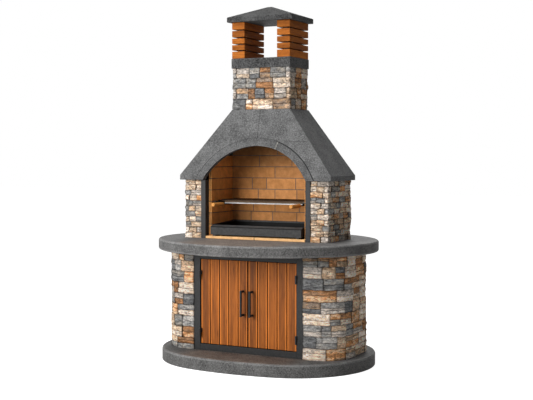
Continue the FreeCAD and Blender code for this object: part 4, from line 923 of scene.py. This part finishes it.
class EndFace:
    """Outer face of a clad cupboard end, round two corners."""

    def __init__(self, sign):
        self.sign = sign
        self.corner_x = END_HALF_WIDTH - END_CORNER
        self.corner_y = END_HALF_DEPTH - END_CORNER
        half_side = END_CORNER * math.pi / 2 + self.corner_y
        self.length = 2 * (self.corner_x - END_START + half_side)

    def read(self, place):
        """Run round the end from its front edge, direction outwards and depth below the face."""
        across = self.sign * place.x
        along = abs(place.y)
        past_x = max(across - self.corner_x, 0.0)
        past_y = max(along - self.corner_y, 0.0)
        turn = math.atan2(past_x, past_y)
        run = min(across, self.corner_x) - END_START + END_CORNER * turn + max(self.corner_y - along, 0.0)
        if place.y > 0:
            run = self.length - run
        reach = Vector((self.sign * past_x, math.copysign(past_y, place.y), 0))
        return run, reach.normalized(), END_CORNER - reach.length


def lone_stone(part):
    """One solid of a wall as a mesh of its own."""
    bm = bmesh.new()
    made = {vert: bm.verts.new(vert.co) for vert in part}
    for face in dict.fromkeys(face for vert in part for face in vert.link_faces):
        bm.faces.new([made[vert] for vert in face.verts])
    return bm


def layer_level(part, draw, layered):
    """Level where a tall stone is split into two layers, or none."""
    low, high = corners(part)
    share = draw.uniform(*SEAM_SHARES)
    if high.z - low.z < LAYERED_HEIGHT or draw.random() > layered:
        return None
    return low.z + share * (high.z - low.z)


def in_upper_layer(vert, level):
    return bool(level) and vert.co.z > level


def grid_cuts(bm, level):
    """Cuts a stone along evenly spaced planes across each axis, and along the seam between its layers."""
    low, high = corners(bm.verts)
    planes = []
    for axis in range(3):
        count = math.ceil((high[axis] - low[axis]) / STONE_GRID)
        normal = Vector([float(index == axis) for index in range(3)])
        planes += [(low.lerp(high, step / count), normal) for step in range(1, count)]
    if level:
        for step in (-SEAM_HALF, 0.0, SEAM_HALF):
            planes.append((Vector((0, 0, level + step)), Vector((0, 0, 1))))
    for place, normal in planes:
        bmesh.ops.bisect_plane(bm, geom=bm.verts[:] + bm.edges[:] + bm.faces[:], dist=CUT_MERGE,
                               plane_co=place, plane_no=normal)
    bm.normal_update()


def noise_spot(run, level, waves, stone_place):
    """Place in a noise for a place on a wall, apart for each stone."""
    return Vector((run * waves[0], stone_place, level * waves[1]))


def split_relief(run, level, seed, ledges):
    """How far a split face stands out from its mean plane: ledges, broken facets and lumps."""
    strata = noise.fractal(noise_spot(run, level, STRATA_WAVES, seed), *STRATA_FRACTAL)
    spot = noise_spot(run, level, FACET_WAVES, seed * FACET_PLACE)
    cell = noise.voronoi(spot)[1][0]
    tilt = noise.noise_vector(cell * TILT_WAVES)
    facet = tilt.x * (spot.x - cell.x) + tilt.z * (spot.z - cell.z) + FACET_STEP * tilt.y
    lumps = noise.noise(noise_spot(run, level, LUMP_WAVES, seed * LUMP_PLACE))
    return STRATA_RISE * ledges * strata + FACET_RISE * facet + LUMP_RISE * lumps


def wander(place, low, high):
    """Sideways drift of a wall's joints, the same for the stones on both sides of one."""
    fade = min(1.0, (place.z - low.z) / WANDER_FADE, (high.z - place.z) / WANDER_FADE)
    broad, fine = [noise.noise_vector(place * waves) for waves in WANDER_WAVES]
    return (broad + FINE_WANDER * fine) * (JOINT_WANDER * max(0.0, fade))


def outline_wear(beside, above, chip, height):
    """How far a stone is worn near its outline, and more near its corners."""
    edge = min(EDGE_WEAR, THIN_WEAR * height)
    corner = min(CORNER_WEAR, THIN_WEAR * height)
    wear = max(0.0, 1 - min(beside, above) / (edge * (1 + CHIP_SHARE * chip))) ** 2
    past = math.hypot(max(0.0, corner - beside), max(0.0, corner - above)) / corner
    return wear + CORNER_BREAK * max(0.0, past - 1.0)


def carve_stone(bm, faces, draw, limits, level, dirt_and_shade):
    """Roughens one stone on its exposed faces and closes up its joints.

    Gives each vertex its painted shade in joints and hollows and its painted highlight on ridges.
    """
    seed = draw.uniform(*NOISE_PLACES)
    stand_out = draw.uniform(*LOWER_STAND), draw.uniform(*UPPER_STAND)
    ledges = draw.uniform(*LEDGE_SHARES)
    low, high = corners(bm.verts)
    untouched = (Vector(), 1.0, 0.0)
    changes = {}
    for face in faces:
        readings = [(vert, *face.read(vert.co)) for vert in bm.verts]
        exposed = [reading for reading in readings if reading[3] < STONE_REACH]
        if not exposed:
            continue
        first = min(run for vert, run, outwards, depth in exposed)
        last = max(run for vert, run, outwards, depth in exposed)
        for vert, run, outwards, depth in exposed:
            height = vert.co.z
            weight = max(0.0, vert.normal.dot(outwards))
            chip = noise.noise(noise_spot(run, height, CHIP_WAVES, seed * CHIP_PLACE))
            beside = min(run - first, last - run)
            above = min(height - low.z, high.z - height)
            wear = outline_wear(beside, above, chip, high.z - low.z)
            upper = in_upper_layer(vert, level)
            rise = split_relief(run, height, seed + UPPER_SHIFT * upper, ledges) + stand_out[upper]
            seam = max(0.0, 1 - abs(height - level) / SEAM_HALF) if level else 0.0
            wear = max(wear, seam * (1 + SEAM_CHIPS * chip))
            sideways = wander(vert.co, *limits) + vert.normal * STONE_SPREAD
            sideways -= outwards * sideways.dot(outwards)
            sideways.z += seam * SEAM_WANDER * noise.noise(Vector((run * SEAM_WAVES, seed, 0)))
            move = outwards * weight * (rise - WEAR_DEPTH * wear) + sideways
            # Painted shade on the sides in joints, along worn edges, in the seam between layers and in
            # hollows of the relief
            hollow_shade = 1.0
            if weight > IN_JOINT:
                hollow_shade = dirt_and_shade * wear + SEAM_PAINTED_SHADE * seam + max(0.0, -rise - HOLLOW_START) * HOLLOW_GAIN
            # Painted highlight where the relief stands out, fading at worn edges
            ridge_highlight = min(1.0, max(0.0, rise - RIDGE_START) * RIDGE_GAIN) * (1 - wear)
            before = changes.get(vert, untouched)
            changes[vert] = before[0] + move, min(before[1], hollow_shade), max(before[2], ridge_highlight)
    shades = []
    for vert in bm.verts:
        move, hollow_shade, ridge_highlight = changes.get(vert, untouched)
        vert.co += move
        shades.append((hollow_shade, ridge_highlight))
    return shades


def layer_colours(kind, draw, tone):
    """Main colour, patch colour and place in the grain of one layer of a stone."""
    own_tone = tone * draw.uniform(*STONE_TONES)
    main, patch = STONE_KINDS[kind]
    numbers = (draw.random(), draw.random(), draw.random(), 1.0)
    return shade_of(main, own_tone), shade_of(patch, own_tone), numbers


def paint_stone(bm, kind, shades, draw, level, tone):
    """Gives each vertex what the walling reads: its layer's colours, its painted shade and its painted
    highlight.
    """
    colour_layers = [bm.verts.layers.float_color.new(name)
                     for name in ("stone_colour", "stone_patch", "piece_random")]
    shade_layers = [bm.verts.layers.float.new(name) for name in ("hollow_shade", "ridge_highlight")]
    lower = layer_colours(kind, draw, tone)
    upper = layer_colours(draw.choice(LAYERED_WITH[kind]), draw, tone)
    for vert, shade in zip(bm.verts, shades):
        colours = upper if in_upper_layer(vert, level) else lower
        for layer, content in zip(colour_layers + shade_layers, colours + shade):
            vert[layer] = content


def clad(node, faces, choose, seed, layered, dirt_and_shade, tone):
    """Walling stones of one CAD node, split-faced and coloured."""
    whole = node_copy(node)
    ease_edges(whole, STONE_EASE)
    draw = random.Random(seed)
    parts = loose_parts(whole)
    wall = bmesh.new()
    mesh = bpy.data.meshes.new(f"{node}_split")
    for part, kind in zip(parts, choose(parts, draw)):
        stone = lone_stone(part)
        level = layer_level(part, draw, layered)
        grid_cuts(stone, level)
        shades = carve_stone(stone, faces, draw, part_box(node), level, dirt_and_shade)
        paint_stone(stone, kind, shades, draw, level, tone)
        stone.to_mesh(mesh)
        stone.free()
        wall.from_mesh(mesh)
    whole.free()
    wall.to_mesh(mesh)
    wall.free()
    return dress_mesh(mesh, walling, [node], STONE_SHARP_TURN)


def any_kinds(parts, draw):
    """Mixed kinds, never the same twice running."""
    chosen = []
    for part in parts:
        options = [kind for kind in MIXED_KINDS if kind not in chosen[-2:]]
        chosen.append(draw.choice(options))
    return chosen


def by_course(written, reach):
    """Chooses kinds from written courses for the stones near some faces, and mixes the rest."""
    def choose(parts, draw):
        boxes = [corners(part) for part in parts]
        floor = min(low.z for low, high in boxes)
        height = max(high.z for low, high in boxes) - floor
        chosen = any_kinds(parts, draw)
        for face, courses in written:
            rows = [{} for course in courses]
            for index, (low, high) in enumerate(boxes):
                middle = (low + high) / 2
                run, outwards, depth = face.read(middle)
                if depth > reach:
                    continue
                row = rows[min(len(rows) - 1, int((middle.z - floor) / height * len(rows)))]
                row.setdefault(round(run, 2), []).append(index)
            for row, course in zip(rows, courses):
                for run, word in zip(sorted(row), course.split()):
                    for index, letter in zip(row[run], word):
                        chosen[index] = letter
        return chosen
    return choose


def wall_faces(node):
    """Front, back, left and right face of a clad wall."""
    low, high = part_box(node)
    return [WallFace(FRONT, -low.y), WallFace(BACK, high.y), WallFace(LEFT, -low.x), WallFace(RIGHT, high.x)]


for side, sign in SIDES.items():
    end = EndFace(sign)
    choose_kinds = by_course([(end, FLANK_KINDS[side])], END_CORNER)
    clad(f"{side}_base_stones", [end], choose_kinds, FLANK_SEEDS[side], **FLANK_WORK)
    node = f"{side}_pillar_stones"
    front, back, left, right = wall_faces(node)
    outer = left if sign < 0 else right
    choose_kinds = by_course([(outer, PILLAR_SIDE_KINDS), (front, PILLAR_FRONT_KINDS[side])], WALL_REACH)
    clad(node, [front, back, outer], choose_kinds, PILLAR_SEEDS[side], **PILLAR_WORK)
front, back, left, right = wall_faces("chimney_stones")
choose_kinds = by_course([(right, CHIMNEY_SIDE_KINDS), (front, CHIMNEY_FRONT_KINDS)], WALL_REACH)
clad("chimney_stones", [front, back, right, left], choose_kinds, CHIMNEY_SEED, **CHIMNEY_WORK)


# Cast pieces

SLAB_EASE = 0.0055
HOOD_EASE = 0.0022
RING_EASE = 0.0032
COLLAR_EASE = 0.005
CAP_EASE = 0.003
CAST_STEPS = 3
SLAB_TURN = 25
CAP_TURN = 10

eased_piece("plinth_slab", SLAB_EASE, plinth_stone, CAST_STEPS, SLAB_TURN)
eased_piece("worktop_slab", SLAB_EASE, slab_stone, CAST_STEPS, SLAB_TURN)
for node in ("hood_left_side", "hood_right_side", "hood_back"):
    eased_piece(node, HOOD_EASE, hood_stone, CAST_STEPS)
for node in ("hood_front_left", "hood_front_right"):
    eased_piece(node, HOOD_EASE, hood_face_stone, CAST_STEPS)
for node in ("arch_ring_left", "arch_ring_crown", "arch_ring_right"):
    eased_piece(node, RING_EASE, ring_stone, CAST_STEPS)
eased_piece("chimney_collar", COLLAR_EASE, collar_stone, CAST_STEPS)
eased_piece("chimney_cap", CAP_EASE, cap_stone, CAST_STEPS, CAP_TURN)


# Masonry behind the cladding

BACK_WALL_EASE = 0.004
CORE_EASE = 0.002

for node in ("cabinet_back_wall", "firebox_back_panel"):
    eased_piece(node, BACK_WALL_EASE, render_coat)
for node in ("left_cabinet_wall", "right_cabinet_wall", "chimney_flue"):
    eased_piece(node, CORE_EASE, render_coat)
for node in ("left_pillar_core", "right_pillar_core"):
    eased_piece(node, CORE_EASE, dark_mortar)


# Firebox lining

BRICK_EASE = 0.0026
HEARTH_EASE = 0.003
MORTAR_RECESS = 0.002
MORTAR_DEPTH = 0.01
HEARTH_SEED = 45

# Each lining with the way its face looks, its clay and the seed of its bricks' tones
LININGS = (
    ("back_firebricks", FRONT, lining_clay, 41),
    ("left_firebricks", RIGHT, side_clay_painted_lighter, 42),
    ("right_firebricks", LEFT, side_clay_painted_lighter, 43))


def mortar_bed(node, inwards):
    """Mortar that fills a lining's joints to just under its face."""
    low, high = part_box(node)
    axis = 0 if inwards.x else 1
    face = low if inwards[axis] < 0 else high
    start = face[axis] - inwards[axis] * MORTAR_RECESS
    end = start - inwards[axis] * MORTAR_DEPTH
    low[axis], high[axis] = min(start, end), max(start, end)
    bm = bmesh.new()
    bmesh.ops.create_cube(bm, size=1.0, matrix=Matrix.LocRotScale((low + high) / 2, None, high - low))
    ease_edges(bm, BRICK_EASE)
    return dress(f"{node}_mortar", bm, brick_mortar, [node])


def lining_bricks(node, inwards, clay, seed):
    """Bricks with mortar smeared over their rounded edges, but not over the front ends of a side lining."""
    bm = node_copy(node)
    own_tones(bm, seed)
    ease_edges(bm, BRICK_EASE)
    joint = bm.verts.layers.float.new("joint")
    along = 1 if inwards.x else 0
    front_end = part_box(node)[0].y
    for part in loose_parts(bm):
        low, high = corners(part)
        free_end = along == 1 and low.y < front_end + BRICK_EASE
        for vert in part:
            insets = [vert.co.z - low.z, high.z - vert.co.z, high[along] - vert.co[along]]
            if not free_end:
                insets.append(vert.co[along] - low[along])
            vert[joint] = 1 - min(1.0, min(insets) / BRICK_EASE)
    return dress(f"{node}_finished", bm, clay, [node])


def hearth():
    """Pale tiles with dirt in the joint between them."""
    bm = node_copy("hearth_tiles")
    own_tones(bm, HEARTH_SEED)
    ease_edges(bm, HEARTH_EASE, CAST_STEPS)
    joint = bm.verts.layers.float.new("joint")
    for vert in bm.verts:
        vert[joint] = float(abs(vert.co.x) < HEARTH_EASE)
    return dress("hearth_tiles_finished", bm, hearth_clay, ["hearth_tiles"])


for node, inwards, clay, seed in LININGS:
    lining_bricks(node, inwards, clay, seed)
    mortar_bed(node, inwards)
hearth()


# Timber

BOARD_EASE = 0.0035
LEDGE_EASE = 0.003
SLAT_EASE = 0.003
GRIP_EASE = 0.002
BOARD_SEEDS = {"left": 51, "right": 91}
LEDGE_SEEDS = {"left": 56, "right": 57}
SLAT_SEEDS = {"left": 61, "right": 62}
GRIP_SEEDS = {"left": 66, "right": 67}


def door_boards(node, seed):
    """Planks with the shade of the grooves between them and a painted highlight on each lip."""
    bm = node_copy(node)
    own_tones(bm, seed)
    ease_edges(bm, BOARD_EASE)
    across = bm.verts.layers.float.new("across")
    grooved = bm.verts.layers.float.new("grooved")
    for part in loose_parts(bm):
        low, high = corners(part)
        for vert in part:
            vert[across] = (vert.co.x - low.x) / (high.x - low.x)
            vert[grooved] = 1.0
    return dress(f"{node}_finished", bm, door_teak, [node])


for side in SIDES:
    door_boards(f"{side}_door_boards", BOARD_SEEDS[side])
    eased_piece(f"{side}_door_ledges", LEDGE_EASE, door_teak, seed=LEDGE_SEEDS[side])
    eased_piece(f"{side}_chimney_slats", SLAT_EASE, slat_timber, seed=SLAT_SEEDS[side])
    eased_piece(f"{side}_grill_grip", GRIP_EASE, grip_wood, seed=GRIP_SEEDS[side])


# Steel

FRAME_EASE = 0.0015
POST_EASE = 0.0012
SHEET_EASE = 0.001
SMALL_EASE = 0.0006
BAR_EASE = 0.0004
BAR_STEPS = 1
BAR_TURN = 60

for node in ("left_frame_jamb", "right_frame_jamb", "frame_head", "frame_sill", "door_catch"):
    eased_piece(node, FRAME_EASE, black_coat)
for side in SIDES:
    eased_piece(f"{side}_post", POST_EASE, grey_coat)
    eased_piece(f"{side}_door_handle", FRAME_EASE, black_coat)
    eased_piece(f"{side}_frame_hinges", SMALL_EASE, black_coat)
    eased_piece(f"{side}_door_hinges", SMALL_EASE, black_coat)
    eased_piece(f"{side}_hinge_pins", SMALL_EASE, bright_steel)
    eased_piece(f"{side}_grill_rail", SMALL_EASE, grey_coat)
eased_piece("charcoal_tray", SHEET_EASE, tray_coat)
eased_piece("charcoal_grate", SHEET_EASE, grate_iron)
eased_piece("slat_spacers", SHEET_EASE, black_coat)
eased_piece("grill_frame", SMALL_EASE, grill_edge)
eased_piece("grill_bars", BAR_EASE, grill_steel, BAR_STEPS, BAR_TURN)
eased_piece("grill_tangs", SMALL_EASE, burnt_iron)


# Floor, light and camera

FLOOR_HALF = 30.0
FLOOR_GREY = (0.55, 0.55, 0.55, 1.0)
FLOOR_GLOW = 0.92
WORLD_LIGHT = 0.23
# Lamps: place, the point each one faces, size and power
LAMPS = {
    "key": ((-3.2, -7.2, 3.4), (0.0, 0.0, 1.2), 4.6, 740.0),
    "top": ((-0.6, -1.4, 6.4), (0.0, 0.0, 1.0), 3.0, 190.0),
    "rear": ((-2.0, 6.6, 3.2), (0.0, 0.0, 1.2), 4.0, 210.0),
}
# Camera: place, tilt and turn in degrees, and lens and sensor in millimetres
CAMERA_PLACE = (3.569, -7.047, 1.532)
CAMERA_TILT = 87.4575
CAMERA_TURN = 26.906
CAMERA_LENS = 72.6
CAMERA_SENSOR = 36.0


def seen_as_background(tree):
    """1 for rays that come straight from the camera or by way of gloss or glass."""
    path = put(tree, "ShaderNodeLightPath").outputs
    seen = maths(tree, "MAXIMUM", path["Is Camera Ray"], path["Is Glossy Ray"])
    return maths(tree, "MAXIMUM", seen, path["Is Transmission Ray"])


def pale_floor():
    """White floor that still takes the object's soft shadow."""
    bm = bmesh.new()
    bmesh.ops.create_grid(bm, x_segments=1, y_segments=1, size=FLOOR_HALF)
    mesh = bpy.data.meshes.new("floor")
    bm.to_mesh(mesh)
    bm.free()
    floor = bpy.data.objects.new("floor", mesh)
    bpy.context.scene.collection.objects.link(floor)
    material = bpy.data.materials.new("pale_floor")
    material.use_nodes = True
    tree = material.node_tree
    tree.nodes.clear()
    matt = put(tree, "ShaderNodeBsdfDiffuse", {"Color": FLOOR_GREY}).outputs["BSDF"]
    glow = put(tree, "ShaderNodeEmission", {"Color": WHITE, "Strength": FLOOR_GLOW}).outputs["Emission"]
    bright = put(tree, "ShaderNodeAddShader", {0: matt, 1: glow}).outputs["Shader"]
    shown = put(tree, "ShaderNodeMixShader", {0: seen_as_background(tree), 1: matt, 2: bright})
    put(tree, "ShaderNodeOutputMaterial", {"Surface": shown.outputs["Shader"]})
    mesh.materials.append(material)


def white_world():
    """Even light all round, seen as plain white."""
    world = bpy.data.worlds.new("studio")
    bpy.context.scene.world = world
    world.use_nodes = True
    tree = world.node_tree
    tree.nodes.clear()
    light = put(tree, "ShaderNodeBackground", {"Color": WHITE, "Strength": WORLD_LIGHT}).outputs["Background"]
    white = put(tree, "ShaderNodeBackground", {"Color": WHITE, "Strength": 1.0}).outputs["Background"]
    shown = put(tree, "ShaderNodeMixShader", {0: seen_as_background(tree), 1: light, 2: white})
    put(tree, "ShaderNodeOutputWorld", {"Surface": shown.outputs["Shader"]})


def soft_box(name, place, target, size, power):
    """Square studio lamp turned towards a point."""
    data = bpy.data.lights.new(name, "AREA")
    data.size = size
    data.energy = power
    lamp = bpy.data.objects.new(name, data)
    lamp.location = place
    lamp.rotation_euler = (Vector(target) - Vector(place)).to_track_quat("-Z", "Y").to_euler()
    bpy.context.scene.collection.objects.link(lamp)


def viewpoint():
    """Camera at the photograph's viewing angle."""
    data = bpy.data.cameras.new("viewpoint")
    data.lens = CAMERA_LENS
    data.sensor_width = CAMERA_SENSOR
    data.sensor_fit = "HORIZONTAL"
    camera = bpy.data.objects.new("viewpoint", data)
    camera.location = CAMERA_PLACE
    camera.rotation_euler = (math.radians(CAMERA_TILT), 0.0, math.radians(CAMERA_TURN))
    bpy.context.scene.collection.objects.link(camera)
    bpy.context.scene.camera = camera


pale_floor()
white_world()
for name, settings in LAMPS.items():
    soft_box(name, *settings)
viewpoint()
bpy.context.scene.view_settings.view_transform = "Standard"
